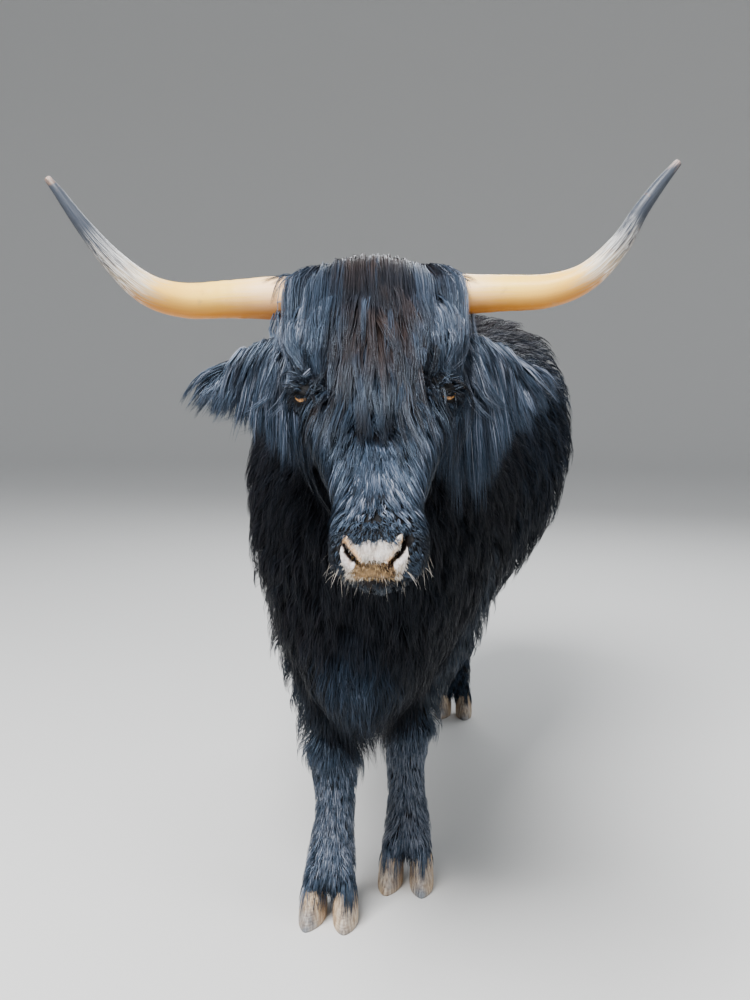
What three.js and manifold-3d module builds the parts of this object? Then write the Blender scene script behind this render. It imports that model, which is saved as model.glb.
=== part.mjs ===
// A life-size standing highland cow, modelled to the outside of its coat, in millimetres.
// +X is the animal's left, +Y runs back along the trunk and +Z is up. Each named part of the
// body is a closed solid of its own, about 0.4 mm clear of its neighbours.
import * as THREE from "three";
import { mergeVertices } from "three/addons/utils/BufferGeometryUtils.js";
import Module from "manifold-3d";

// ---- driving dimensions ----
const WITHERS = 1180; // height of the back over the shoulders
const BARREL_HALF = 375; // half the width of the belly, coat included
const RUMEN_BULGE = 14; // how much further the left flank swells than the right
const SWING = 30; // how far the hindquarters stand to the left of the line of the chest
const HEAD_AT = { x: 73, y: -500, z: 1000 }; // the middle of the head, between the eyes
const HEAD_LENGTH = 532; // from the poll to the end of the muzzle
const HEAD_TURN = 7; // degrees that the head looks to the animal's left
const HEAD_ROLL = 1.5; // degrees, left side up
const FACE_TILT = 50; // degrees that the face leans back from upright
const HORN_RADIUS = 31;
const EARS = {
  left: { reach: 275, fringe: 1 }, // the fringe is the length of the hair that hangs from it
  right: { reach: 289, fringe: 0.8 },
};
const EYE_RADIUS = 18;
const KNEE_HEIGHT = 345;
const HOCK_HEIGHT = 455;
const CORONET_HEIGHT = 66; // where hair meets hoof
const CLAW = { halfLength: 52, halfWidth: 26, spacing: 32, splay: 7 };
// Where each foot stands, and how far out the widest part of its upper leg lies.
const FEET = {
  fore_left: { x: 66, y: 134, out: 148 },
  fore_right: { x: -66, y: -34, out: 98 },
  hind_left: { x: 100, y: 1310, out: 178 },
  hind_right: { x: -58, y: 1215, out: 178 },
};
const CUTS = { chest: 270, rump: 1010 }; // where the trunk is parted, along Y
const GAP = 0.5; // clearance between neighbouring solids
const MELD = 0.05; // corners of a cut body that lie closer than this are made one

// ---- materials ----
const finish = (color, roughness) =>
  new THREE.MeshStandardMaterial({ color, roughness, metalness: 0 });
const COAT = finish(0x15161a, 0.55);
const MUZZLE = finish(0x8d8078, 0.5);
const HORN = finish(0xd9b98a, 0.35);
const EYE = finish(0x2a1a10, 0.08);
const HOOF = finish(0x9a8672, 0.5);
const SKIN = finish(0x3a2e2c, 0.6);

const degrees = THREE.MathUtils.degToRad;

// ---- solids: closed meshes joined and cut with manifold-3d ----
const wasm = await Module();
wasm.setup();

// The bare surface, with each corner shared by the faces that meet there.
function shared(geometry) {
  const bare = new THREE.BufferGeometry();
  bare.setAttribute("position", geometry.getAttribute("position"));
  bare.setIndex(geometry.index);
  return mergeVertices(bare, 1e-3);
}

function solid(geometry) {
  const { attributes, index } = shared(geometry);
  return new wasm.Manifold(
    new wasm.Mesh({
      numProp: 3,
      vertProperties: new Float32Array(attributes.position.array),
      triVerts: new Uint32Array(index.array),
    }),
  );
}

// The surface of a joined or cut body, with corners closer than MELD made one.
function geometryOf(made) {
  const { vertProperties, triVerts } = made.getMesh();
  const geometry = new THREE.BufferGeometry();
  geometry.setAttribute("position", new THREE.BufferAttribute(new Float32Array(vertProperties), 3));
  geometry.setIndex(new THREE.BufferAttribute(new Uint32Array(triVerts), 1));
  const melded = mergeVertices(geometry, MELD);
  const corners = melded.index.array;
  const faces = [];
  for (let i = 0; i < corners.length; i += 3) {
    const [a, b, c] = corners.slice(i, i + 3);
    if (a !== b && b !== c && c !== a) faces.push(a, b, c);
  }
  melded.setIndex(faces);
  melded.computeVertexNormals();
  return melded;
}

const largest = (made) =>
  made.decompose().reduce((a, b) => (a.volume() > b.volume() ? a : b));

const cut = (made, ...others) => largest(others.reduce((m, o) => m.subtract(o), made));

const join = (...solids) => solids.reduce((a, b) => a.add(b));

// A smooth curve through evenly spaced values, as a function of t from 0 to 1.
function through(values) {
  const curve = new THREE.SplineCurve(values.map((v, i) => new THREE.Vector2(i, v)));
  return (t) => curve.getPoint(t).y;
}

// Directions for sections that all face one way.
const ALONG_Y = new THREE.Vector3(0, 1, 0);
const DOWNWARD = new THREE.Vector3(0, 0, -1);

const roundPower = (v, power) => Math.sign(v) * Math.abs(v) ** (2 / power);

// The faces of a body whose points are rings of equal size, then the middles of its two ends.
function skinOver(points, rings, sides) {
  const at = (i, k) => i * sides + (k % sides);
  const faces = [];
  for (let i = 0; i < rings - 1; i++)
    for (let k = 0; k < sides; k++) {
      faces.push(at(i, k), at(i, k + 1), at(i + 1, k));
      faces.push(at(i, k + 1), at(i + 1, k + 1), at(i + 1, k));
    }
  for (let k = 0; k < sides; k++) {
    faces.push(rings * sides, at(0, k + 1), at(0, k));
    faces.push(rings * sides + 1, at(rings - 1, k), at(rings - 1, k + 1));
  }
  const geometry = new THREE.BufferGeometry().setFromPoints(points);
  geometry.setIndex(faces);
  return outward(geometry);
}

// A closed body through rounded sections. Each key gives a section's centre (x, y, z), its half
// width, its reach up and down from the centre, and how far its upper half narrows. crown and
// power are how square the upper and the lower half are, where 2 is round. The sections lie
// square to the line of centres, or to the direction that facing gives.
function loft({ keys, rings, sides, power = 2.2, crown = power, facing }) {
  const field = (name) => through(keys.map((k) => k[name] ?? 0));
  const [x, y, z] = ["x", "y", "z"].map(field);
  const [wide, up, down, narrow] = ["wide", "up", "down", "narrow"].map(field);
  const centre = (t) => new THREE.Vector3(x(t), y(t), z(t));
  const across = new THREE.Vector3(1, 0, 0);
  const step = 0.5 / rings;
  const points = [];
  for (let i = 0; i < rings; i++) {
    const t = i / (rings - 1);
    const ahead = facing ?? centre(Math.min(1, t + step)).sub(centre(Math.max(0, t - step)));
    const over = across.clone().cross(ahead).normalize();
    for (let k = 0; k < sides; k++) {
      const a = (2 * Math.PI * k) / sides;
      const bend = Math.sin(a) > 0 ? crown : power;
      const lift = roundPower(Math.sin(a), bend);
      const reach = lift > 0 ? up(t) : down(t);
      const pinch = 1 - narrow(t) * Math.max(0, lift) ** 2;
      points.push(
        centre(t)
          .addScaledVector(across, roundPower(Math.cos(a), bend) * wide(t) * pinch)
          .addScaledVector(over, lift * reach),
      );
    }
  }
  points.push(centre(0), centre(1));
  return skinOver(points, rings, sides);
}

// The geometry with its faces turned out, whichever way its sections ran.
function outward(geometry) {
  const made = solid(geometry);
  if (made.volume() > 0) return geometry;
  const index = Array.from(geometry.index.array);
  for (let i = 0; i < index.length; i += 3)
    [index[i + 1], index[i + 2]] = [index[i + 2], index[i + 1]];
  geometry.setIndex(index);
  return geometry;
}

// The same body grown by the gap on every side, to cut a neighbour clear of it.
function grown(geometry) {
  const larger = shared(geometry.clone());
  larger.computeVertexNormals();
  const { position, normal } = larger.attributes;
  const corner = new THREE.Vector3();
  const outwards = new THREE.Vector3();
  for (let i = 0; i < position.count; i++) {
    corner.fromBufferAttribute(position, i);
    outwards.fromBufferAttribute(normal, i);
    position.setXYZ(i, ...corner.addScaledVector(outwards, GAP));
  }
  return larger;
}

const ball = (radius, sides = 10, rings = 7) =>
  new THREE.SphereGeometry(radius, sides, rings);

const between = (low, high) =>
  solid(new THREE.BoxGeometry(4000, high - low, 4000).translate(0, (low + high) / 2, 0));

// What lies in front of a plane that leans forward by lean degrees as it goes down.
const ahead = (y, z, lean) =>
  solid(
    new THREE.BoxGeometry(4000, 4000, 8000)
      .translate(0, -2000, 0)
      .rotateX(degrees(-lean))
      .translate(0, y, z),
  );

const below = (height) =>
  solid(new THREE.BoxGeometry(4000, 8000, 2000).translate(0, 0, height - 1000));

// ---- frames of the head, whose shapes are drawn for a head of DRAWN_LENGTH ----
const DRAWN_LENGTH = 553;
const headSize = HEAD_LENGTH / DRAWN_LENGTH;
const headFrame = new THREE.Matrix4()
  .makeTranslation(HEAD_AT.x, HEAD_AT.y, HEAD_AT.z)
  .multiply(new THREE.Matrix4().makeRotationZ(degrees(HEAD_TURN)))
  .multiply(new THREE.Matrix4().makeRotationY(degrees(-HEAD_ROLL)))
  .scale(new THREE.Vector3(headSize, headSize, headSize));
// In the face's own frame +Z runs up the face from muzzle to poll and +Y into the head.
const faceFrame = headFrame
  .clone()
  .multiply(new THREE.Matrix4().makeRotationX(degrees(-FACE_TILT)));
const onHead = (geometry) => solid(geometry.clone().applyMatrix4(headFrame));
const onFace = (geometry) => solid(geometry.clone().applyMatrix4(faceFrame));

// ---- trunk ----
const swing = (y) => SWING * THREE.MathUtils.smoothstep(y, 150, 1100);

// Half width, top and bottom of the coat at stations back along Y.
function trunkKeys() {
  const low = WITHERS;
  const wide = BARREL_HALF;
  const stations = [
    { y: -215, wide: 0.18 * wide, top: 0.64 * low, bottom: 0.47 * low, narrow: 0.1 },
    { y: -185, wide: 0.38 * wide, top: 0.74 * low, bottom: 0.39 * low, narrow: 0.2 },
    { y: -110, wide: 0.5 * wide, top: 0.9 * low, bottom: 0.345 * low, narrow: 0.34 },
    { y: 0, wide: 0.6 * wide, top: 0.98 * low, bottom: 0.33 * low, narrow: 0.4 },
    { y: 130, wide: 0.71 * wide, top: low, bottom: 0.325 * low, narrow: 0.38 },
    { y: 310, wide: 0.8 * wide, top: 0.99 * low, bottom: 0.345 * low, narrow: 0.24 },
    { y: 500, wide: 0.92 * wide, top: 0.975 * low, bottom: 0.36 * low, narrow: 0.12 },
    { y: 690, wide: wide, top: 0.975 * low, bottom: 0.38 * low, narrow: 0.06 },
    { y: 870, wide: wide, top: 1.005 * low, bottom: 0.39 * low, narrow: 0.03 },
    { y: 1030, wide: 0.98 * wide, top: 1.03 * low, bottom: 0.41 * low, narrow: 0.02 },
    { y: 1170, wide: 0.9 * wide, top: 1.03 * low, bottom: 0.44 * low, narrow: 0.08 },
    { y: 1300, wide: 0.72 * wide, top: 1.0 * low, bottom: 0.5 * low, narrow: 0.2 },
    { y: 1395, wide: 0.5 * wide, top: 0.945 * low, bottom: 0.57 * low, narrow: 0.3 },
    { y: 1440, wide: 0.24 * wide, top: 0.89 * low, bottom: 0.68 * low, narrow: 0.3 },
  ];
  return stations.map(({ y, wide: w, top, bottom, narrow }) => {
    const rumen = RUMEN_BULGE * Math.exp(-(((y - 760) / 260) ** 2));
    const z = 0.57 * top + 0.43 * bottom;
    const x = swing(y) + rumen / 2;
    return { x, y, z, wide: w + rumen / 2, up: top - z, down: z - bottom, narrow };
  });
}
const TRUNK = {
  keys: trunkKeys(),
  rings: 20,
  sides: 18,
  power: 1.82,
  crown: 3.2,
  facing: ALONG_Y,
};

// ---- neck, from the head back to the shoulders ----
const NECK = {
  keys: [
    { x: 58, y: -305, z: 1085, wide: 92, up: 92, down: 95 },
    { x: 52, y: -250, z: 1050, wide: 128, up: 130, down: 150, narrow: 0.1 },
    { x: 42, y: -180, z: 1000, wide: 168, up: 172, down: 225, narrow: 0.2 },
    { x: 26, y: -100, z: 935, wide: 205, up: 228, down: 300, narrow: 0.3 },
    { x: 10, y: 0, z: 868, wide: 238, up: 288, down: 380, narrow: 0.36 },
    { x: 0, y: 100, z: 820, wide: 250, up: 345, down: 390, narrow: 0.4 },
  ],
  rings: 9,
  sides: 14,
};

const NECK_BASE = { y: 10, z: 1000, lean: 24 }; // the cut that parts neck from shoulders

// ---- head ----
// Sections down the face, from poll to muzzle. up is the depth towards the jaw, down the
// height of the forehead or nose over the line of the eyes.
const FACE = {
  keys: [
    { z: 240, wide: 50, up: 60, down: 34 },
    { z: 222, wide: 84, up: 90, down: 56 },
    { z: 175, wide: 99, up: 112, down: 66, narrow: 0.1 },
    { z: 110, wide: 103, up: 128, down: 70, narrow: 0.2 },
    { z: 50, wide: 112, up: 145, down: 68, narrow: 0.3 },
    { z: 0, wide: 114, up: 158, down: 62, narrow: 0.36 },
    { z: -50, wide: 104, up: 160, down: 56, narrow: 0.36 },
    { z: -100, wide: 86, up: 142, down: 51, narrow: 0.34 },
    { z: -150, wide: 68, up: 116, down: 46, narrow: 0.26 },
    { z: -198, wide: 58, up: 96, down: 43, narrow: 0.2 },
    { z: -240, wide: 59, up: 86, down: 42, narrow: 0.2 },
    { z: -275, wide: 63, up: 78, down: 38, narrow: 0.22 },
    { z: -300, wide: 58, up: 66, down: 24, narrow: 0.22 },
    { z: -313, wide: 40, up: 48, down: 0, narrow: 0.2 },
  ],
  rings: 17,
  sides: 14,
  facing: DOWNWARD,
};
const EYE_HALF_GAP = 104; // from the middle of the face to the middle of an eye
const MOUTH = { corner: -185, depth: 42, slope: 11 }; // the lips part below this line
const MUZZLE_LINE = { z: -262, slope: 14 }; // where the bare skin of the muzzle begins
const NOSTRIL = { x: 32, y: -10, z: -303 };

function eyeball(sign) {
  return ball(EYE_RADIUS / headSize).translate(sign * EYE_HALF_GAP, -16, 0);
}

// The bony ring that stands out round the eye.
const orbit = (sign) =>
  ball(1)
    .scale(34, 36, 38)
    .translate(sign * (EYE_HALF_GAP - 17), -8, 4);

const nostril = (sign) =>
  ball(1, 8, 6)
    .scale(6.5, 15, 20)
    .rotateY(degrees(sign * 24))
    .translate(sign * NOSTRIL.x, NOSTRIL.y, NOSTRIL.z);

// A slab along the parting of the lips. Below it lies the jaw.
function mouthSlab(from, to) {
  return new THREE.BoxGeometry(400, to - from, 900)
    .translate(0, (from + to) / 2, 0)
    .rotateX(degrees(-MOUTH.slope))
    .translate(0, MOUTH.depth, MOUTH.corner);
}

// Everything below the line where the hairless end of the muzzle begins.
const muzzleSlab = (back) =>
  new THREE.BoxGeometry(400, 600, 400)
    .translate(0, 0, -200 + back)
    .rotateX(degrees(MUZZLE_LINE.slope))
    .translate(0, 0, MUZZLE_LINE.z);

function headAndJaw() {
  const face = join(onFace(loft(FACE)), ...[1, -1].map((s) => onFace(orbit(s))));
  const hollowed = [1, -1].reduce(
    (made, s) =>
      made
        .subtract(onFace(grown(eyeball(s))))
        .subtract(onFace(nostril(s))),
    face,
  );
  return {
    head: largest(hollowed.subtract(onFace(mouthSlab(-GAP / 2, 500)))),
    jaw: largest(hollowed.intersect(onFace(mouthSlab(GAP / 2, 500)))),
    round: join(...[loft(FACE), orbit(1), orbit(-1)].map((g) => onFace(grown(g)))),
  };
}

// ---- horns: out level from the poll, then curving up and a little back to the tips ----
// Keys along each horn: out from the middle of the head, behind it and above it, with the
// horn's girth as a share of HORN_RADIUS.
const HORNS = {
  left: {
    out: [63, 127, 186, 254, 307, 350, 377, 404, 433],
    behind: [150, 143, 128, 108, 88, 72, 66, 66, 70],
    above: [164, 164, 164, 165, 184, 228, 274, 312, 347],
    girth: [1.06, 0.97, 0.87, 0.79, 0.65, 0.5, 0.37, 0.28, 0.14],
  },
  right: {
    out: [82, 156, 217, 279, 328, 373, 413, 446, 462],
    behind: [150, 143, 128, 108, 88, 72, 66, 66, 70],
    above: [161, 163, 161, 159, 174, 216, 268, 317, 338],
    girth: [1.1, 1.02, 0.9, 0.82, 0.72, 0.53, 0.36, 0.23, 0.12],
  },
};

const hornKeys = ({ out, behind, above, girth }, sign) =>
  out.map((reach, i) => ({
    x: (sign * reach) / headSize,
    y: behind[i],
    z: above[i],
    radius: (girth[i] * HORN_RADIUS) / headSize,
  }));

// A round body of changing radius swept along a line of keys.
function horn(keys, rings, sides) {
  const line = new THREE.CatmullRomCurve3(keys.map((k) => new THREE.Vector3(k.x, k.y, k.z)));
  const radius = through(keys.map((k) => k.radius));
  const forward = new THREE.Vector3(0, 1, 0);
  const points = [];
  for (let i = 0; i < rings; i++) {
    const t = i / (rings - 1);
    const along = line.getTangent(t);
    const over = forward.clone().cross(along).normalize();
    const side = along.clone().cross(over);
    for (let k = 0; k < sides; k++) {
      const a = (2 * Math.PI * k) / sides;
      points.push(
        line
          .getPoint(t)
          .addScaledVector(over, radius(t) * Math.sin(a))
          .addScaledVector(side, radius(t) * Math.cos(a)),
      );
    }
  }
  points.push(line.getPoint(0), line.getPoint(1));
  return skinOver(points, rings, sides);
}

// ---- forelock: the fringe that falls from the poll over the brow ----
const FORELOCK = {
  keys: [
    { z: 281, y: -34, wide: 66, up: 34, down: 24 },
    { z: 268, y: -28, wide: 112, up: 76, down: 48 },
    { z: 238, y: -22, wide: 142, up: 110, down: 72 },
    { z: 195, y: -20, wide: 154, up: 116, down: 84 },
    { z: 145, y: -20, wide: 152, up: 90, down: 84 },
    { z: 95, y: -26, wide: 138, up: 56, down: 76 },
    { z: 45, y: -32, wide: 114, up: 32, down: 62 },
    { z: -5, y: -34, wide: 82, up: 26, down: 54 },
    { z: -55, y: -34, wide: 54, up: 22, down: 42 },
    { z: -108, y: -34, wide: 14, up: 12, down: 22 },
  ],
  rings: 11,
  sides: 12,
  facing: DOWNWARD,
};

// ---- ears: a drooping leaf with the long hair that hangs from its lower edge ----
// out is sideways, as a share of the reach, top the leaf's upper edge and tip the hair's end.
function earKeys({ reach, fringe }) {
  const stations = [
    { out: 0.3, top: 80, tip: -104, thick: 24, back: 116 },
    { out: 0.4, top: 92, tip: -142, thick: 32, back: 121 },
    { out: 0.53, top: 99, tip: -148, thick: 34, back: 124 },
    { out: 0.67, top: 95, tip: -112, thick: 32, back: 130 },
    { out: 0.81, top: 80, tip: -62, thick: 28, back: 134 },
    { out: 0.92, top: 55, tip: -22, thick: 21, back: 136 },
    { out: 1, top: 22, tip: 0, thick: 9, back: 136 },
  ];
  return stations.map(({ out, top, tip, thick, back }) => ({
    x: back, // front to back, until the ear is turned to point sideways
    y: (reach * out) / headSize,
    z: (top + fringe * tip) / 2,
    wide: thick,
    up: (top - fringe * tip) / 2,
    down: (top - fringe * tip) / 2,
  }));
}

function ear(shape, sign) {
  const pointing = loft({ keys: earKeys(shape), rings: 10, sides: 10, facing: ALONG_Y });
  const sideways = new THREE.Matrix4().makeBasis(
    new THREE.Vector3(0, 1, 0),
    new THREE.Vector3(sign, 0, 0),
    new THREE.Vector3(0, 0, 1),
  );
  return outward(pointing.applyMatrix4(sideways));
}

// ---- legs ----
// Sections down each leg: up is the reach back from its line, down the reach forward.
function foreleg(foot) {
  const s = Math.sign(foot.x);
  const out = s * foot.out;
  const y = foot.y + 30; // the line of knee and cannon
  const knee = KNEE_HEIGHT;
  return {
    keys: [
      { x: 0.8 * out, y: 75, z: 960, wide: 96, up: 110, down: 95 },
      { x: 0.96 * out, y: 45, z: 860, wide: 98, up: 150, down: 130 },
      { x: out, y: 20, z: 750, wide: 98, up: 155, down: 140 },
      { x: 0.97 * out, y: 0.3 * y + 25, z: 650, wide: 99, up: 140, down: 118 },
      { x: 0.92 * out, y: 0.7 * y + 8, z: 540, wide: 90, up: 102, down: 90 },
      { x: s * 86, y, z: 430, wide: 68, up: 68, down: 66 },
      { x: s * 68, y, z: knee, wide: 57, up: 54, down: 56 },
      { x: s * 60, y: y + 2, z: knee * 0.8, wide: 44, up: 46, down: 45 },
      { x: s * 60, y: y + 4, z: knee * 0.64, wide: 38, up: 42, down: 40 },
      { x: foot.x * 0.96, y: y + 4, z: knee * 0.49, wide: 41, up: 46, down: 41 },
      { x: foot.x, y: y - 2, z: knee * 0.37, wide: 47, up: 55, down: 46 },
      { x: foot.x, y: y - 16, z: knee * 0.26, wide: 50, up: 50, down: 45 },
    ],
    rings: 14,
    sides: 10,
    facing: DOWNWARD,
  };
}

function hindleg(foot) {
  const s = Math.sign(foot.x);
  const out = s * foot.out;
  const y = foot.y + 80; // the line of the hock
  const stifle = 0.5 * (foot.y + 1130) - 55;
  const hock = HOCK_HEIGHT;
  return {
    keys: [
      { x: SWING + 0.66 * out, y: 1205, z: 1010, wide: 110, up: 130, down: 120 },
      { x: SWING + 0.9 * out, y: 1195, z: 900, wide: 125, up: 170, down: 165 },
      { x: SWING + out, y: 1170, z: 790, wide: 124, up: 190, down: 178 },
      { x: SWING + 0.99 * out, y: stifle + 35, z: 680, wide: 108, up: 172, down: 145 },
      { x: SWING + 0.84 * out, y: 0.45 * stifle + 0.55 * y, z: 570, wide: 78, up: 100, down: 102 },
      { x: SWING + 0.71 * out, y, z: hock, wide: 54, up: 58, down: 58 },
      { x: foot.x + s * 26, y: y - 10, z: hock * 0.8, wide: 45, up: 50, down: 48 },
      { x: foot.x + s * 17, y: y - 24, z: hock * 0.6, wide: 41, up: 45, down: 43 },
      { x: foot.x + s * 8, y: y - 36, z: hock * 0.42, wide: 43, up: 47, down: 43 },
      { x: foot.x, y: y - 48, z: hock * 0.28, wide: 50, up: 55, down: 49 },
      { x: foot.x, y: y - 64, z: hock * 0.2, wide: 50, up: 50, down: 45 },
    ],
    rings: 14,
    sides: 10,
    facing: DOWNWARD,
  };
}

// One of a foot's two toes, between the pastern and its claw.
function toe(foot, side) {
  const x = foot.x + side * CLAW.spacing * 0.86;
  const y = foot.y;
  return loft({
    keys: [
      { x: x - side * 8, y: y + 16, z: 118, wide: 22, up: 34, down: 30 },
      { x: x - side * 2, y: y + 10, z: 94, wide: 25, up: 38, down: 36 },
      { x, y: y + 8, z: CORONET_HEIGHT + GAP, wide: 26, up: 38, down: 38 },
    ],
    rings: 3,
    sides: 8,
  });
}

// One of the two small claws high at the back of a foot.
const dewclaw = (foot, side, back) =>
  loft({
    keys: [
      { x: foot.x + side * 22, y: foot.y + back, z: 128, wide: 13, up: 12, down: 26 },
      { x: foot.x + side * 25, y: foot.y + back + 12, z: 112, wide: 13, up: 14, down: 24 },
      { x: foot.x + side * 27, y: foot.y + back + 18, z: 98, wide: 6, up: 6, down: 10 },
    ],
    rings: 3,
    sides: 6,
  });

// One half of the cloven hoof: flat below, pointed in front, its wall leaning back.
function claw() {
  const { halfLength, halfWidth } = CLAW;
  const sides = 10;
  const sections = [
    { z: 0, length: halfLength, width: halfWidth, back: 0 },
    { z: 12, length: halfLength * 0.97, width: halfWidth * 1.02, back: 2 },
    { z: CORONET_HEIGHT * 0.55, length: halfLength * 0.84, width: halfWidth * 0.98, back: 7 },
    { z: CORONET_HEIGHT, length: halfLength * 0.7, width: halfWidth * 0.88, back: 12 },
  ];
  const points = sections.flatMap(({ z, length, width, back }) =>
    Array.from({ length: sides }, (_, k) => {
      const a = (2 * Math.PI * k) / sides;
      const front = Math.max(0, -Math.sin(a));
      const across = Math.cos(a) * width * (1 - 0.22 * front ** 2);
      return new THREE.Vector3(across, Math.sin(a) * length + back, z);
    }),
  );
  const { z: top, back } = sections.at(-1);
  points.push(new THREE.Vector3(0, 0, 0), new THREE.Vector3(0, back, top));
  const geometry = skinOver(points, sections.length, sides);
  geometry.computeVertexNormals();
  return geometry;
}

// ---- tail: a dock that hangs from the rump, and its long brush ----
const TAIL = {
  keys: [
    { x: SWING, y: 1355, z: 1112, wide: 38, up: 34, down: 32 },
    { x: SWING, y: 1430, z: 1092, wide: 38, up: 34, down: 34 },
    { x: SWING, y: 1474, z: 1020, wide: 34, up: 30, down: 30 },
    { x: SWING, y: 1482, z: 920, wide: 30, up: 27, down: 27 },
    { x: SWING, y: 1480, z: 820, wide: 30, up: 27, down: 27 },
    { x: SWING, y: 1476, z: 730, wide: 36, up: 32, down: 30 },
    { x: SWING, y: 1474, z: 640, wide: 52, up: 45, down: 43 },
    { x: SWING, y: 1472, z: 540, wide: 62, up: 52, down: 50 },
    { x: SWING, y: 1468, z: 430, wide: 60, up: 48, down: 46 },
    { x: SWING, y: 1464, z: 330, wide: 38, up: 32, down: 30 },
    { x: SWING, y: 1462, z: 272, wide: 10, up: 10, down: 8 },
  ],
  rings: 14,
  sides: 10,
};
const SWITCH_TOP = 760; // where the dock ends and the long hair of the switch begins

// ---- udder, small and high between the thighs ----
const udder = () => {
  const bag = solid(ball(1, 10, 6).scale(88, 112, 92).translate(SWING, 1090, 510));
  const teats = [-1, 1].flatMap((side) =>
    [-1, 1].map((end) =>
      solid(ball(1, 6, 4).scale(11, 11, 26).translate(SWING + side * 38, 1085 + end * 42, 430)),
    ),
  );
  return join(bag, ...teats);
};

// ---- the whole animal ----
const cow = new THREE.Group();
function add(name, made, material) {
  const mesh = new THREE.Mesh(geometryOf(made), material);
  mesh.name = name;
  cow.add(mesh);
}

const swollen = (shape) => solid(grown(loft(shape)));
const trunk = solid(loft(TRUNK));
const roundTrunk = swollen(TRUNK);
const { head, jaw, round: roundHead } = headAndJaw();

const legs = Object.entries(FEET).map(([name, foot]) => {
  const fore = name.startsWith("fore");
  const shape = fore ? foreleg(foot) : hindleg(foot);
  return { name, foot, fore, shape, joint: fore ? KNEE_HEIGHT : HOCK_HEIGHT };
});

// The head, its jaw and the wet end of the muzzle, with horns and eyes.
add("head", largest(head.subtract(onFace(muzzleSlab(GAP / 2)))), COAT);
add("muzzle", largest(head.intersect(onFace(muzzleSlab(-GAP / 2)))), MUZZLE);
add("jaw", jaw, COAT);
const SIDES = { left: 1, right: -1 };
const roundHorns = [];
for (const [name, sign] of Object.entries(SIDES)) {
  const shape = horn(hornKeys(HORNS[name], sign), 14, 10);
  roundHorns.push(onHead(grown(shape)));
  add(`horn_${name}`, cut(onHead(shape), roundHead), HORN);
  add(`eye_${name}`, onFace(eyeball(sign)), EYE);
}

// Ears.
const roundEars = [];
for (const [name, sign] of Object.entries(SIDES)) {
  const leaf = ear(EARS[name], sign);
  roundEars.push(onHead(grown(leaf)));
  add(`ear_${name}`, cut(onHead(leaf), roundHead), COAT);
}

// Neck and trunk are one body, parted by thin cuts.
const body = cut(join(trunk, solid(loft(NECK))), roundHead, ...roundHorns, ...roundEars);
const { y: base, z: collar, lean } = NECK_BASE;
add("neck", largest(body.intersect(ahead(base - GAP, collar, lean))), COAT);
const behindNeck = body.subtract(ahead(base, collar, lean));
add("chest", largest(behindNeck.intersect(between(-2000, CUTS.chest - GAP / 2))), COAT);
const midway = between(CUTS.chest + GAP / 2, CUTS.rump - GAP / 2);
add("barrel", largest(behindNeck.intersect(midway)), COAT);
add("rump", largest(behindNeck.intersect(between(CUTS.rump + GAP / 2, 3000))), COAT);

// The forelock, which lies between the ears.
const fringe = onFace(loft(FORELOCK));
add("forelock", cut(fringe, roundHead, swollen(NECK), ...roundHorns, ...roundEars), COAT);

// Legs and cloven feet. Each leg is parted at the knee or hock.
for (const { name, foot, fore, shape, joint } of legs) {
  const dewclaws = [-1, 1].map((side) => solid(dewclaw(foot, side, fore ? 62 : 74)));
  const toes = [-1, 1].map((side) => solid(toe(foot, side)));
  const whole = join(solid(loft(shape)), ...dewclaws, ...toes);
  const leg = cut(whole, roundTrunk, swollen(NECK), below(CORONET_HEIGHT + GAP));
  add(`${name}_upper`, cut(leg, below(joint + GAP / 2)), COAT);
  add(`${name}_lower`, largest(leg.intersect(below(joint - GAP / 2))), COAT);
  for (const side of [-1, 1]) {
    const outer = side === Math.sign(foot.x);
    const hoof = new THREE.Mesh(claw(), HOOF);
    hoof.name = `${name}_claw_${outer ? "outer" : "inner"}`;
    hoof.position.set(foot.x + side * CLAW.spacing, foot.y, 0);
    hoof.rotation.z = degrees(side * CLAW.splay);
    cow.add(hoof);
  }
}

// Tail and udder.
const tail = cut(solid(loft(TAIL)), roundTrunk);
add("tail_dock", cut(tail, below(SWITCH_TOP + GAP / 2)), COAT);
add("tail_switch", largest(tail.intersect(below(SWITCH_TOP - GAP / 2))), COAT);
const roundLegs = legs.map((leg) => swollen(leg.shape));
add("udder", cut(udder(), roundTrunk, ...roundLegs), SKIN);

// The origin is on the floor, under the middle of the animal's bounding box.
cow.updateMatrixWorld(true);
const box = new THREE.Box3().setFromObject(cow, true);
const middle = box.getCenter(new THREE.Vector3());
cow.position.set(-middle.x, -middle.y, -box.min.z);

export default cow;
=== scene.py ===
"""A life-size highland cow with a black, shaggy coat and wide, upswept horns.

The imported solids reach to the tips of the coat. One skin lies inside them, and locks of hair
grow from it along the lie of the coat. Metres throughout, except for shapes on the head, which
are given in millimetres in the head's own frames.
"""
import math

import bmesh
import bpy
import numpy as np
from mathutils import Matrix, Vector, kdtree
from mathutils.bvhtree import BVHTree


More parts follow.
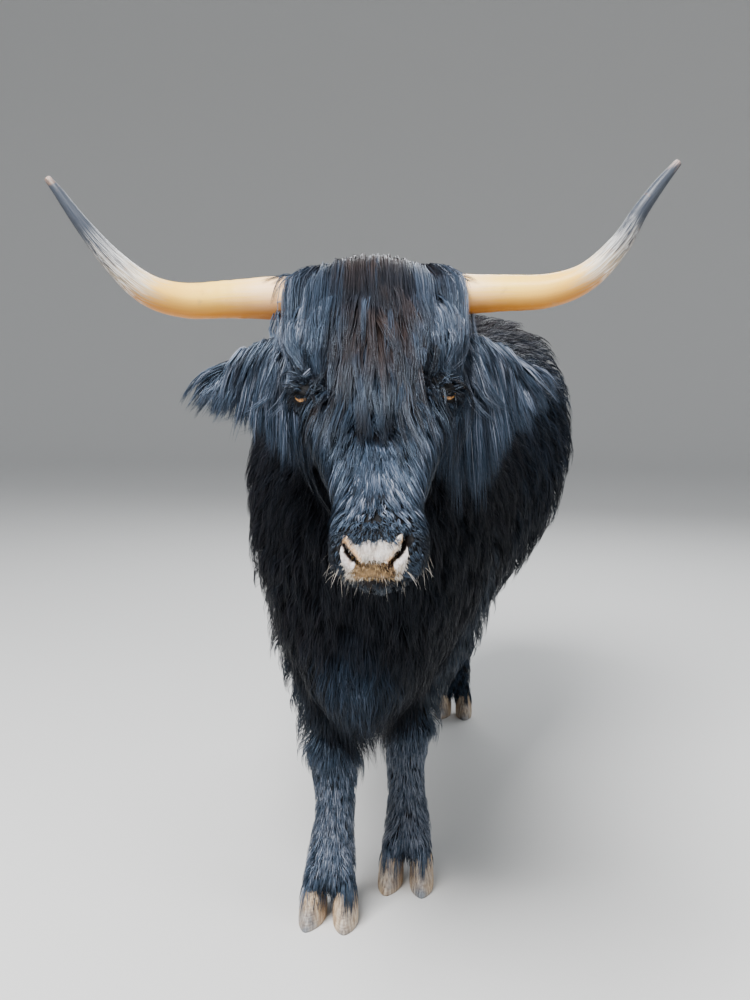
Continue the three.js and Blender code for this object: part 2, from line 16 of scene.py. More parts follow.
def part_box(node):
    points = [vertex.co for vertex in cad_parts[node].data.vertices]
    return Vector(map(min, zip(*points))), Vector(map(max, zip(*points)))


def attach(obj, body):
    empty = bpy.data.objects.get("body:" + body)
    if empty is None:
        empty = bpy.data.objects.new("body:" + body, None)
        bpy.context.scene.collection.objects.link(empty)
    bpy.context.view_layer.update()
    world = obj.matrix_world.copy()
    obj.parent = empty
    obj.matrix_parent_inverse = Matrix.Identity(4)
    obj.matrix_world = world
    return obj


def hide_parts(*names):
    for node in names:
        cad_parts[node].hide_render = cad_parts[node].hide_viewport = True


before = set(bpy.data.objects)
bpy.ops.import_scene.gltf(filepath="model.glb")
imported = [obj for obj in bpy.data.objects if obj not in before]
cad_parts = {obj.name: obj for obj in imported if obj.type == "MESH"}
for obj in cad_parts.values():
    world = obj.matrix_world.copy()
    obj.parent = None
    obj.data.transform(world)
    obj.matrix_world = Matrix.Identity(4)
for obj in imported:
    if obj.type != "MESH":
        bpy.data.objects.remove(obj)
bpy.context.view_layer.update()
rng = np.random.default_rng(7)

MM = 0.001

# ---- places shared with the solids ----
FORE_TOES = Vector((0.066, 0.134, 0))  # of the left forefoot, from the middle of the two forefeet
HEAD_AT = Vector((0.073, -0.500, 1.000))
HEAD_LENGTH = 0.532
DRAWN_LENGTH = 553 * MM  # the head is drawn this long, and scaled to HEAD_LENGTH
HEAD_TURN = math.radians(7)
HEAD_ROLL = math.radians(1.5)
FACE_TILT = math.radians(50)
EYE_RADIUS = 0.018
EYE_AT = (104, -16, 0)  # the left eye, in the face's frame
EYE_SHIFT = 2  # how far the pair of eyes lies to the right of the face's middle line
EYE_SET_IN = 6  # how much nearer to the nose an eyeball lies than the round form of its solid
HEAD_SIZE = HEAD_LENGTH / DRAWN_LENGTH
SIGN = {"left": 1, "right": -1}  # of x, on each side
SWING = 0.030  # how far the hindquarters stand to the left of the line of the chest


def layout_origin():
    """The point midway between the two forefeet, on the floor, that the places are given from."""
    inner_low, inner_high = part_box("fore_left_claw_inner")
    outer_low, outer_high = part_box("fore_left_claw_outer")
    toes = (inner_low + inner_high + outer_low + outer_high) / 4
    return Vector((toes.x, toes.y, 0)) - FORE_TOES


ORIGIN = layout_origin()
HEAD_FRAME = (
    Matrix.Translation(ORIGIN + HEAD_AT)
    @ Matrix.Rotation(HEAD_TURN, 4, "Z")
    @ Matrix.Rotation(-HEAD_ROLL, 4, "Y")
    @ Matrix.Scale(HEAD_SIZE * MM, 4)
)
# In the face's frame +Z runs up the face from muzzle to poll, and +Y into the head.
FACE_FRAME = HEAD_FRAME @ Matrix.Rotation(-FACE_TILT, 4, "X")

FLESH = ["head", "muzzle", "jaw", "forelock", "neck", "chest", "barrel", "rump", "udder",
         "tail_dock"]
FLESH += [f"{end}_{side}_{part}" for end in ("fore", "hind") for side in ("left", "right")
          for part in ("upper", "lower")]


# ---- arrays of points ----
def placed(matrix, points):
    """Points of a frame as points of the world."""
    m = np.array(matrix)
    return np.asarray(points, float) @ m[:3, :3].T + m[:3, 3]


def within(matrix, points):
    """Points of the world as points of a frame."""
    return placed(np.linalg.inv(np.array(matrix)), points)


def turned(matrix, vectors):
    """Directions of a frame as unit directions of the world."""
    return unit(np.asarray(vectors, float) @ np.array(matrix)[:3, :3].T)


def unit(vectors):
    length = np.linalg.norm(vectors, axis=-1, keepdims=True)
    return vectors / np.maximum(length, 1e-9)


def dot(a, b):
    return (a * b).sum(-1, keepdims=True)


def smooth(low, high, values):
    """0 below low, 1 above high and a smooth rise between them."""
    t = np.clip((values - low) / (high - low), 0, 1)
    return t * t * (3 - 2 * t)


def through(keys, t):
    """A smooth curve through evenly spaced keys, numbers or points, at t from 0 to 1."""
    keys = np.asarray(keys, float)
    flat = keys.reshape(len(keys), -1)
    t = np.clip(np.asarray(t, float), 0, 1) * (len(keys) - 1)
    i = np.minimum(t.astype(int), len(keys) - 2)
    f = (t - i)[..., None]
    p0, p1 = flat[np.maximum(i - 1, 0)], flat[i]
    p2, p3 = flat[i + 1], flat[np.minimum(i + 2, len(keys) - 1)]
    made = 0.5 * (2 * p1 + (p2 - p0) * f + (2 * p0 - 5 * p1 + 4 * p2 - p3) * f**2
                  + (3 * p1 - p0 - 3 * p2 + p3) * f**3)
    return made[..., 0] if keys.ndim == 1 else made


# ---- meshes from arrays ----
def build_mesh(name, points, faces_by_size):
    """A smooth mesh of points and of lists of faces, each list an array of faces of one size."""
    mesh = bpy.data.meshes.new(name)
    sizes = np.concatenate([np.full(len(f), f.shape[1]) for f in faces_by_size])
    corners = np.concatenate([f.ravel() for f in faces_by_size])
    starts = np.concatenate([[0], np.cumsum(sizes)[:-1]])
    mesh.vertices.add(len(points))
    mesh.vertices.foreach_set("co", np.asarray(points, np.float32).ravel())
    mesh.loops.add(len(corners))
    mesh.loops.foreach_set("vertex_index", corners.astype(np.int32))
    mesh.polygons.add(len(sizes))
    mesh.polygons.foreach_set("loop_start", starts.astype(np.int32))
    mesh.polygons.foreach_set("use_smooth", np.ones(len(sizes), bool))
    mesh.update(calc_edges=True)
    return mesh


def new_object(name, data):
    made = bpy.data.objects.new(name, data)
    bpy.context.scene.collection.objects.link(made)
    return made


def add_piece(name, mesh, material, slot, *nodes):
    """A piece of the animal that stands for these nodes of the solids."""
    piece = new_object(name, mesh)
    mesh.materials.append(material)
    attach(piece, "root")
    if nodes:
        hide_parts(*nodes)
    return piece


def read(items, field, width, kind):
    """What a mesh holds in this field of its items, with a row of this width for each."""
    values = np.empty(len(items) * width, kind)
    items.foreach_get(field, values)
    return values.reshape(-1, width)


def points_of(mesh):
    return read(mesh.vertices, "co", 3, np.float32).astype(float)


def triangles_of(mesh):
    mesh.calc_loop_triangles()
    return read(mesh.loop_triangles, "vertices", 3, np.int32)


def edges_of(mesh):
    return read(mesh.edges, "vertices", 2, np.int32)


def move_points(mesh, points):
    mesh.vertices.foreach_set("co", points.astype(np.float32).ravel())


def note(mesh, name, vectors):
    """Notes a vector at each point of a mesh, which its material reads by this name."""
    made = mesh.attributes.new(name, "FLOAT_VECTOR", "POINT")
    made.data.foreach_set("vector", np.asarray(vectors, np.float32).ravel())


def normals_of(points, triangles):
    """A unit normal at each point, weighted by the area of the faces round it."""
    a, b, c = (points[triangles[:, k]] for k in range(3))
    across = np.cross(b - a, c - a)
    normals = np.zeros_like(points)
    for k in range(3):
        for axis in range(3):
            normals[:, axis] += np.bincount(triangles[:, k], across[:, axis], len(points))
    return unit(normals)


def spread(values, edges, rounds, share=0.5):
    """Values at points, evened out along the edges a number of times."""
    values = np.asarray(values, float)
    flat = values.reshape(len(values), -1).copy()
    n = len(flat)
    near = np.bincount(edges.ravel(), minlength=n).astype(float)[:, None]
    for _ in range(rounds):
        total = np.zeros_like(flat)
        for axis in range(flat.shape[1]):
            total[:, axis] = (np.bincount(edges[:, 0], flat[edges[:, 1], axis], n)
                              + np.bincount(edges[:, 1], flat[edges[:, 0], axis], n))
        flat += share * (total / np.maximum(near, 1) - flat)
    return flat.reshape(values.shape)


def evened(points, edges, rounds):
    """Points relaxed without shrinking: each round smooths and then swells back."""
    for _ in range(rounds):
        points = spread(points, edges, 1, 0.5)
        points = spread(points, edges, 1, -0.52)
    return points


def ring_faces(rings, sides):
    """The faces between rings of points, and the triangles that close the first and the last
    ring, each round one point. Those two points come after the points of the rings."""
    i, k = np.meshgrid(np.arange(rings - 1), np.arange(sides), indexing="ij")
    following = (k + 1) % sides
    quads = np.stack([i * sides + k, i * sides + following,
                      (i + 1) * sides + following, (i + 1) * sides + k], -1).reshape(-1, 4)
    k, following = k[0], following[0]
    middle, last = rings * sides, (rings - 1) * sides
    ends = np.concatenate([
        np.stack([np.full(sides, middle), following, k], -1),
        np.stack([np.full(sides, middle + 1), last + k, last + following], -1)])
    return [quads, ends]


def tube(line, radii, sides, over, squash=1.0):
    """Points and faces of a closed round body along a line of points. over is the direction
    that its sections start from, and squash how thin they are across it."""
    line, radii = np.asarray(line, float), np.asarray(radii, float)
    ahead = unit(np.gradient(line, axis=0))
    side = unit(np.cross(ahead, np.asarray(over, float)))
    up = np.cross(side, ahead)
    angle = np.linspace(0, 2 * math.pi, sides, endpoint=False)
    ring = np.cos(angle)[None, :, None] * up[:, None] * radii[:, None, None]
    ring = ring + np.sin(angle)[None, :, None] * side[:, None] * radii[:, None, None] * squash
    points = (line[:, None] + ring).reshape(-1, 3)
    return np.concatenate([points, line[:1], line[-1:]]), ring_faces(len(line), sides)


# ---- the line of the horns, which the skin meets ----
HORN_RADIUS = 31
# Keys along each horn: out from the middle of the head, behind it and above it, with its girth
# as a share of HORN_RADIUS.
HORN_KEYS = {
    "left": [(63, 150, 164, 1.06), (127, 143, 164, 0.97), (186, 128, 164, 0.87),
             (254, 108, 165, 0.79), (307, 88, 184, 0.65), (350, 72, 228, 0.50),
             (377, 66, 274, 0.37), (404, 66, 312, 0.28), (433, 70, 347, 0.17)],
    "right": [(82, 150, 161, 1.10), (156, 143, 163, 1.02), (217, 128, 161, 0.90),
              (279, 108, 159, 0.82), (328, 88, 174, 0.72), (373, 72, 216, 0.53),
              (413, 66, 268, 0.36), (446, 66, 317, 0.23), (462, 70, 338, 0.16)],
}


def horn_line(side, t):
    """Points along the middle of a horn, and its radius there, in the head's frame."""
    out, behind, above, girth = np.array(HORN_KEYS[side]).T
    out = out * SIGN[side] / HEAD_SIZE
    keys = np.stack([out, behind, above], -1)
    return through(keys, t), through(girth, t) * HORN_RADIUS / HEAD_SIZE


# ---- the skin ----
OVERLAP = 0.0008  # how far each part of flesh is swollen, to close the gap to its neighbour
SKIN_CELL = 0.008
# How deep the skin lies under the tips of the coat.
COAT_DEPTH = {
    "head": 0.009, "jaw": 0.008, "muzzle": 0.0005, "neck": 0.042, "chest": 0.042,
    "barrel": 0.038, "rump": 0.034, "udder": 0.003, "tail_dock": 0.008,
    "fore_upper": 0.026, "hind_upper": 0.030, "fore_lower": 0.007, "hind_lower": 0.007,
    "forelock": 0.028, "ear": 0.0, "tail_core": 0.0,
}
REGIONS = list(COAT_DEPTH)


def region_of(node):
    """fore_left_upper and fore_right_upper are one region, fore_upper."""
    return REGIONS.index(node.replace("left_", "").replace("right_", ""))


def bare_arrays(mesh):
    """Points and triangles of a mesh, with each corner shared by the faces that meet there."""
    points, triangles = points_of(mesh), triangles_of(mesh)
    _, first, where = np.unique(np.round(points, 6), axis=0, return_index=True,
                                return_inverse=True)
    triangles = where.ravel()[triangles]
    a, b, c = triangles.T
    return points[first], triangles[(a != b) & (b != c) & (c != a)]


EAR_REACH = {"left": 275, "right": 289}
# The leaf of an ear: how far out as a share of its reach, its middle's height, its half
# height, and how far back it lies, in the head's frame.
EAR_LEAF = [(0.26, 62, 16, 112), (0.36, 60, 30, 116), (0.48, 56, 38, 120), (0.60, 50, 38, 124),
            (0.72, 42, 30, 128), (0.82, 32, 19, 131), (0.88, 26, 7, 132)]
EAR_THICKNESS = 0.24  # of its height


def ear_reach(sign):
    """How far out the ears on these sides reach, in the head's frame."""
    return np.where(sign > 0, EAR_REACH["left"], EAR_REACH["right"]) / HEAD_SIZE


def ear_leaf(side):
    sign = SIGN[side]
    share, height, half, back = np.array(EAR_LEAF).T
    t = np.linspace(0, 1, 24)
    out, height, half, back = (through(v, t) for v in (share, height, half, back))
    line = np.stack([sign * out * EAR_REACH[side] / HEAD_SIZE, back, height], -1)
    points, faces = tube(line, half, 20, (0, 0, 1), EAR_THICKNESS)
    # The leaf is cupped, open to the front.
    middle = np.repeat(line, 20, axis=0)
    lift = (points[:-2, 2] - middle[:, 2]) / np.repeat(half, 20)
    points[:-2, 1] -= 0.28 * np.repeat(half, 20) * lift**2
    return placed(HEAD_FRAME, points), faces


# The flesh of the tail inside its switch, as y, z and radius from the layout's origin.
TAIL_CORE = [(1.478, 0.800, 0.020), (1.476, 0.730, 0.018), (1.474, 0.640, 0.014),
             (1.472, 0.560, 0.009), (1.471, 0.520, 0.004)]


def tail_core():
    y, z, radius = np.array(TAIL_CORE).T
    t = np.linspace(0, 1, 16)
    line = np.stack([np.full(16, SWING), through(y, t), through(z, t)], -1) + np.array(ORIGIN)
    return tube(line, through(radius, t), 12, (0, -1, 0))


def horn_root(side):
    """Fills the solids where the horn passes through the forelock."""
    line, girth = horn_line(side, np.linspace(0.0, 0.17, 8))
    points, faces = tube(line, girth * 1.12, 16, (0, 0, 1))
    return placed(HEAD_FRAME, points), faces


def flesh():
    """All parts of the flesh, each swollen a little, and the region that each face is of."""
    points, triangles, regions, count = [], [], [], 0
    for name in FLESH + ["eye_left", "eye_right"]:
        region = REGIONS.index("head") if name.startswith("eye") else region_of(name)
        p, t = bare_arrays(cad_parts[name].data)
        p = p + OVERLAP * normals_of(p, t) * (-1 if name.startswith("eye") else 1)
        points.append(p)
        triangles.append(t + count)
        regions.append(np.full(len(t), region))
        count += len(p)
    extra = [(ear_leaf(side), "ear") for side in ("left", "right")]
    extra += [(horn_root(side), "forelock") for side in ("left", "right")]
    extra += [(tail_core(), "tail_core")]
    for (p, faces), region in extra:
        t = np.concatenate([faces[0][:, [0, 1, 2]], faces[0][:, [0, 2, 3]], faces[1]])
        points.append(p)
        triangles.append(t + count)
        regions.append(np.full(len(t), REGIONS.index(region)))
        count += len(p)
    return np.concatenate(points), np.concatenate(triangles), np.concatenate(regions)


def remeshed(points, triangles, cell):
    """One closed surface round all of these, of faces about a cell across."""
    source = new_object("source", build_mesh("source", points, [triangles]))
    remesh = source.modifiers.new("remesh", "REMESH")
    remesh.mode = "VOXEL"
    remesh.voxel_size = cell
    remesh.use_smooth_shade = True
    graph = bpy.context.evaluated_depsgraph_get()
    mesh = bpy.data.meshes.new_from_object(source.evaluated_get(graph))
    bpy.data.objects.remove(source)
    return mesh


def nearest_regions(points, source_points, source_triangles, source_regions):
    tree = BVHTree.FromPolygons(source_points.tolist(), source_triangles.tolist())
    return np.array([source_regions[tree.find_nearest(p)[2]] for p in points.tolist()])


def refined(mesh, close, rounds):
    """The mesh with the faces near a place split in four, again and again. close(points) says
    which points are near."""
    for _ in range(rounds):
        work = bmesh.new()
        work.from_mesh(mesh)
        work.verts.ensure_lookup_table()
        chosen = close(np.array([v.co for v in work.verts]))
        edges = [e for e in work.edges if chosen[e.verts[0].index] or chosen[e.verts[1].index]]
        bmesh.ops.subdivide_edges(work, edges=edges, cuts=1, use_grid_fill=True, smooth=0)
        bmesh.ops.triangulate(work, faces=[f for f in work.faces if len(f.verts) > 4])
        work.to_mesh(mesh)
        work.free()
    return mesh


MUZZLE_MIDDLE = (-6, -8, -292)  # of the hairless pad, in the face's frame
FACE_MIDDLE = MUZZLE_MIDDLE[0]  # the nose lies this far off the middle of the face
# The slit of each nostril, and the smooth roll that borders it towards the middle.
NOSTRILS = {
    1: [(41, -31, -281), (40, -26, -287), (36, -19, -295), (28, -13, -302), (21, -8, -308)],
    -1: [(38, -23, -290), (36, -20, -295), (32, -16, -300), (26, -11, -305), (21, -8, -308)],
}
ROLL = [(39, -30, -275), (36, -26, -282), (31, -22, -290), (25, -17, -298), (20, -12, -306)]
MOUTH_CORNER = (42, -185)  # y and z of the end of the parting of the lips
MOUTH_SLOPE = math.tan(math.radians(11))
# How far the forms of the muzzle rise from it or sink into it.
WING_RISE, ROLL_RISE, NOSTRIL_DEPTH = 3.6, 3.4, 14
MOUTH_DEPTH, UPPER_LIP_RISE, LOWER_LIP_RISE, LIP_GROOVE = 7, 2.4, 1.6, 1.6

# How the eye looks: across is towards the ear, and the opening is given in degrees.
GAZE = (0.46, -0.888, 0.0)  # of the left eye, in the head's frame
OPENING_HALF_WIDTH, OPENING_UP, OPENING_DOWN = 36, 12, 21
LID = 0.0021  # how far the lids stand proud of the eye
FOLD, CREASE, BRIM = 0.0016, 0.0012, 0.0009  # how high or deep these are round the lids


def eye_axes(sign):
    """The eye's middle and the directions that it looks, across and up, in the world."""
    out = EYE_AT[0] - EYE_SET_IN
    middle = placed(FACE_FRAME, [(sign * out - EYE_SHIFT, EYE_AT[1], EYE_AT[2])])[0]
    gaze = turned(HEAD_FRAME, [(sign * GAZE[0], GAZE[1], GAZE[2])])[0]
    up = turned(HEAD_FRAME, [(0, 0, 1)])[0]
    across = unit(np.cross(gaze, up)) * -sign
    return middle, gaze, across, np.cross(across, gaze) * -sign


def from_opening(points, sign):
    """How far points lie from the rim of the lids, in degrees round the eye, negative in the
    opening, with their distance from the eye's middle and their height in degrees."""
    middle, gaze, across, up = eye_axes(sign)
    away = points - middle
    distance = np.linalg.norm(away, axis=1)
    along = away / distance[:, None]
    side = np.degrees(np.arctan2(along @ across, along @ gaze))
    rise = np.degrees(np.arcsin(np.clip(along @ up, -1, 1)))
    # The corner towards the nose lies lower than the one towards the ear.
    rise = rise + 0.16 * (-side)
    share = np.clip(1 - (np.abs(side) / OPENING_HALF_WIDTH) ** 1.8, 0, 1)
    half = np.where(rise > 0, OPENING_UP, OPENING_DOWN) * share
    beyond = np.maximum(np.abs(side) - OPENING_HALF_WIDTH, 0)
    past = np.abs(rise) - half
    return np.hypot(past, beyond) * np.sign(past + beyond), distance, rise


def sculpt_eye(points, sign):
    """Lids that close round the eye and leave its opening, and the folds above and below."""
    middle = eye_axes(sign)[0]
    near = np.linalg.norm(points - middle, axis=1) < 0.060
    rim, distance, rise = from_opening(points[near], sign)
    lid = EYE_RADIUS + LID
    fold = FOLD * np.exp(-((rim - 13) / 5) ** 2) * np.where(rise > 0, 1.0, 0.6)
    crease = -CREASE * np.exp(-((rim - 22) / 4) ** 2)
    brim = BRIM * np.exp(-((rim - 3) / 3) ** 2)
    outside = lid + brim + (np.maximum(distance, lid) - lid) * smooth(8, 46, rim) + fold + crease
    wanted = outside + (EYE_RADIUS - 0.006 - outside) * (1 - smooth(-4, 0.5, rim))
    reach = 1 - smooth(85, 110, rim)
    moved = distance + (wanted - distance) * reach
    points[near] = middle + (points[near] - middle) * (moved / distance)[:, None]
    return points


def from_line(points, line):
    """How far points lie from a line through other points."""
    best = np.full(len(points), 1e9)
    for a, b in zip(line[:-1], line[1:]):
        t = np.clip(((points - a) @ (b - a)) / ((b - a) @ (b - a)), 0, 1)
        best = np.minimum(best, np.linalg.norm(points - a - t[:, None] * (b - a), axis=1))
    return best


def face_line(keys, sign):
    line = through(np.array(keys, float), np.linspace(0, 1, 12))
    return line * (sign, 1, 1) + (FACE_MIDDLE, 0, 0)


def nostril_line(sign):
    return face_line(NOSTRILS[sign], sign)


PAD_OUT = np.array([0.0, -0.643, -0.766])  # which way the pad of the muzzle faces


def from_hole(face_points, sign):
    """How far points lie from the slit of a nostril, less where it is wide, in its middle. How
    deep they lie in it hardly counts."""
    def squeezed(points):
        return points - 0.85 * dot(points, PAD_OUT) * PAD_OUT

    line, points = squeezed(nostril_line(sign)), squeezed(face_points)
    return np.minimum(from_line(points, line), from_line(points, line[4:9]) - 1.6)


def from_holes(face_points):
    """How far points lie from the nearer nostril."""
    return np.minimum(from_hole(face_points, 1), from_hole(face_points, -1))


def from_rolls(face_points):
    """How far points lie from the nearer of the rolls beside the nostrils."""
    return np.minimum(*(from_line(face_points, face_line(ROLL, sign)) for sign in (1, -1)))


def from_mouth(face_points):
    """How far points lie below the parting of the lips, in the face's frame."""
    y, z = face_points[:, 1], face_points[:, 2]
    corner_y, corner_z = MOUTH_CORNER
    return (y - corner_y) + (z - corner_z) * -MOUTH_SLOPE


def sculpt_muzzle(points, normals):
    """The nostrils with their raised wings, the groove of the upper lip and the mouth."""
    local = within(FACE_FRAME, points)
    near = np.linalg.norm(local - MUZZLE_MIDDLE, axis=1) < 120
    part = local[near]
    x, z = part[:, 0] - FACE_MIDDLE, part[:, 2]
    raised = np.zeros(len(part))
    for sign in (1, -1):
        outer = from_line(part, nostril_line(sign) + (sign * 8, 4, -2))
        inner = from_line(part, face_line(ROLL, sign))
        raised += (WING_RISE * np.exp(-((outer / 5) ** 2))
                   + ROLL_RISE * np.exp(-((inner / 4.5) ** 2)))
        raised -= NOSTRIL_DEPTH * np.exp(-(from_hole(part, sign) / 3.4) ** 2)
    mouth = from_mouth(part)
    lips = 1 - smooth(-215, -175, z)
    raised -= MOUTH_DEPTH * np.exp(-((mouth / 3.2) ** 2)) * lips
    raised += UPPER_LIP_RISE * np.exp(-(((mouth + 9) / 6) ** 2)) * lips
    raised += LOWER_LIP_RISE * np.exp(-(((mouth - 9) / 6) ** 2)) * lips
    raised -= LIP_GROOVE * np.exp(-((x / 2.5) ** 2)) * (1 - smooth(-300, -285, z)) * (mouth < 6)
    points[near] += normals[near] * (raised * HEAD_SIZE * MM)[:, None]
    return points


def build_skin():
    """The skin's mesh, with the region of each of its points as an attribute."""
    source = flesh()
    mesh = remeshed(source[0], source[1], SKIN_CELL)
    points = evened(points_of(mesh), edges_of(mesh), 4)
    move_points(mesh, points)

    def near(centre, radius):
        middle = placed(FACE_FRAME, [centre])[0]
        return lambda p: np.linalg.norm(p - middle, axis=1) < radius

    eyes = [near((sign * EYE_AT[0], EYE_AT[1], EYE_AT[2]), 0.045) for sign in (1, -1)]

    def near_an_eye(p):
        return eyes[0](p) | eyes[1](p)

    refined(mesh, near_an_eye, 3)
    refined(mesh, near((FACE_MIDDLE, 0, -270), 0.095), 1)
    refined(mesh, near(MUZZLE_MIDDLE, 0.070), 2)

    points, edges, triangles = points_of(mesh), edges_of(mesh), triangles_of(mesh)
    region = nearest_regions(points, *source)
    points = evened(points, edges, 6)
    depth = np.array([COAT_DEPTH[r] for r in REGIONS])[region]
    on_head = region == REGIONS.index("head")
    depth[on_head] *= (0.2 + 0.8 * smooth(-268, -190, within(FACE_FRAME, points)[:, 2]))[on_head]
    depth = spread(depth, edges, 24)
    normals = unit(spread(normals_of(points, triangles), edges, 6))
    # The long coat is drawn in by steps, so that the skin stays smooth where it folds.
    for _ in range(6):
        points = points - normals * (depth / 6)[:, None]
        points = points + (spread(points, edges, 2) - points) * smooth(0.01, 0.03, depth)[:, None]
        normals = unit(spread(normals_of(points, triangles), edges, 4))
    points = sculpt_muzzle(points, normals)
    for sign in (1, -1):
        points = sculpt_eye(points, sign)
    move_points(mesh, points)
    mesh.update()
    return mesh, region


# ---- how the coat lies ----
# For each part of the body: strands to a square metre, their length and width, how many make a
# lock, how wide the lock is at its root, how far its strands close up towards the tip, how far
# they wave, how much of their weight they follow, and in how many pieces a strand is made.
LOCKS = {
    "head": (150000, 0.072, 0.0013, 11, 0.0060, 0.45, 0.0014, 0.02, 5),
    "jaw": (70000, 0.045, 0.0013, 7, 0.0050, 0.50, 0.0022, 0.15, 4),
    "muzzle": (280000, 0.011, 0.0009, 4, 0.0030, 0.30, 0.0006, 0.00, 3),
    "forelock": (112000, 0.190, 0.0014, 18, 0.0080, 0.50, 0.0026, 0.14, 6),
    "neck": (56000, 0.090, 0.0015, 13, 0.0140, 0.26, 0.0036, 0.08, 4),
    "chest": (50000, 0.085, 0.0015, 13, 0.0140, 0.26, 0.0036, 0.08, 4),
    "barrel": (19500, 0.100, 0.0022, 12, 0.0170, 0.28, 0.0044, 0.08, 4),
    "rump": (19000, 0.095, 0.0023, 12, 0.0160, 0.30, 0.0042, 0.08, 4),
    "udder": (30000, 0.014, 0.0011, 3, 0.0030, 0.30, 0.0008, 0.10, 2),
    "tail_dock": (34000, 0.075, 0.0022, 9, 0.0080, 0.60, 0.0030, 0.10, 5),
    "fore_upper": (44000, 0.062, 0.0016, 12, 0.0120, 0.22, 0.0018, 0.06, 4),
    "hind_upper": (22000, 0.075, 0.0023, 11, 0.0130, 0.42, 0.0042, 0.06, 4),
    "fore_lower": (118000, 0.030, 0.0013, 9, 0.0080, 0.18, 0.0010, 0.03, 4),
    "hind_lower": (60000, 0.030, 0.0018, 8, 0.0075, 0.30, 0.0016, 0.03, 4),
    "ear": (170000, 0.150, 0.0016, 15, 0.0065, 0.55, 0.0030, 0.25, 6),
    "tail_core": (88000, 0.330, 0.0028, 14, 0.0080, 0.45, 0.0090, 0.35, 7),
}
COUNT, LENGTH, WIDTH, STRANDS, ROOT, CLOSING, WAVE, FALL, PIECES = (
    np.array([LOCKS[r][k] for r in REGIONS]) for k in range(9))
R = {name: REGIONS.index(name) for name in REGIONS}
# The forelock falls to all sides from a line inside the top of the head: x from, x to, y, z.
CREST = (-70, 62, -14, 226)
HANG = np.array([0.0, 0.0, -1.0])
# Above, in front of and inside these, in the face's frame, the locks are laid along given lines.
CROWN_LIMITS = (226, 22, 95)
FORE_MIDDLE = 0.0  # x between the forelegs, from the layout's origin


def pad_share(face_points):
    """1 on the hairless pad of the muzzle and 0 off it."""
    x = np.abs(face_points[:, 0] - FACE_MIDDLE)
    y, z = face_points[:, 1], face_points[:, 2]
    top = -289 - 4 * np.exp(-(((x - 21) / 8) ** 2)) - 3 * np.exp(-((x / 4) ** 2))
    top += 9 * smooth(22, 36, x) - 30 * smooth(38, 47, x)
    lip = 1 - smooth(2, 10, from_mouth(face_points))
    return smooth(4, -4, z - top) * smooth(47, 40, x + 0.32 * np.maximum(y + 20, 0)) * lip


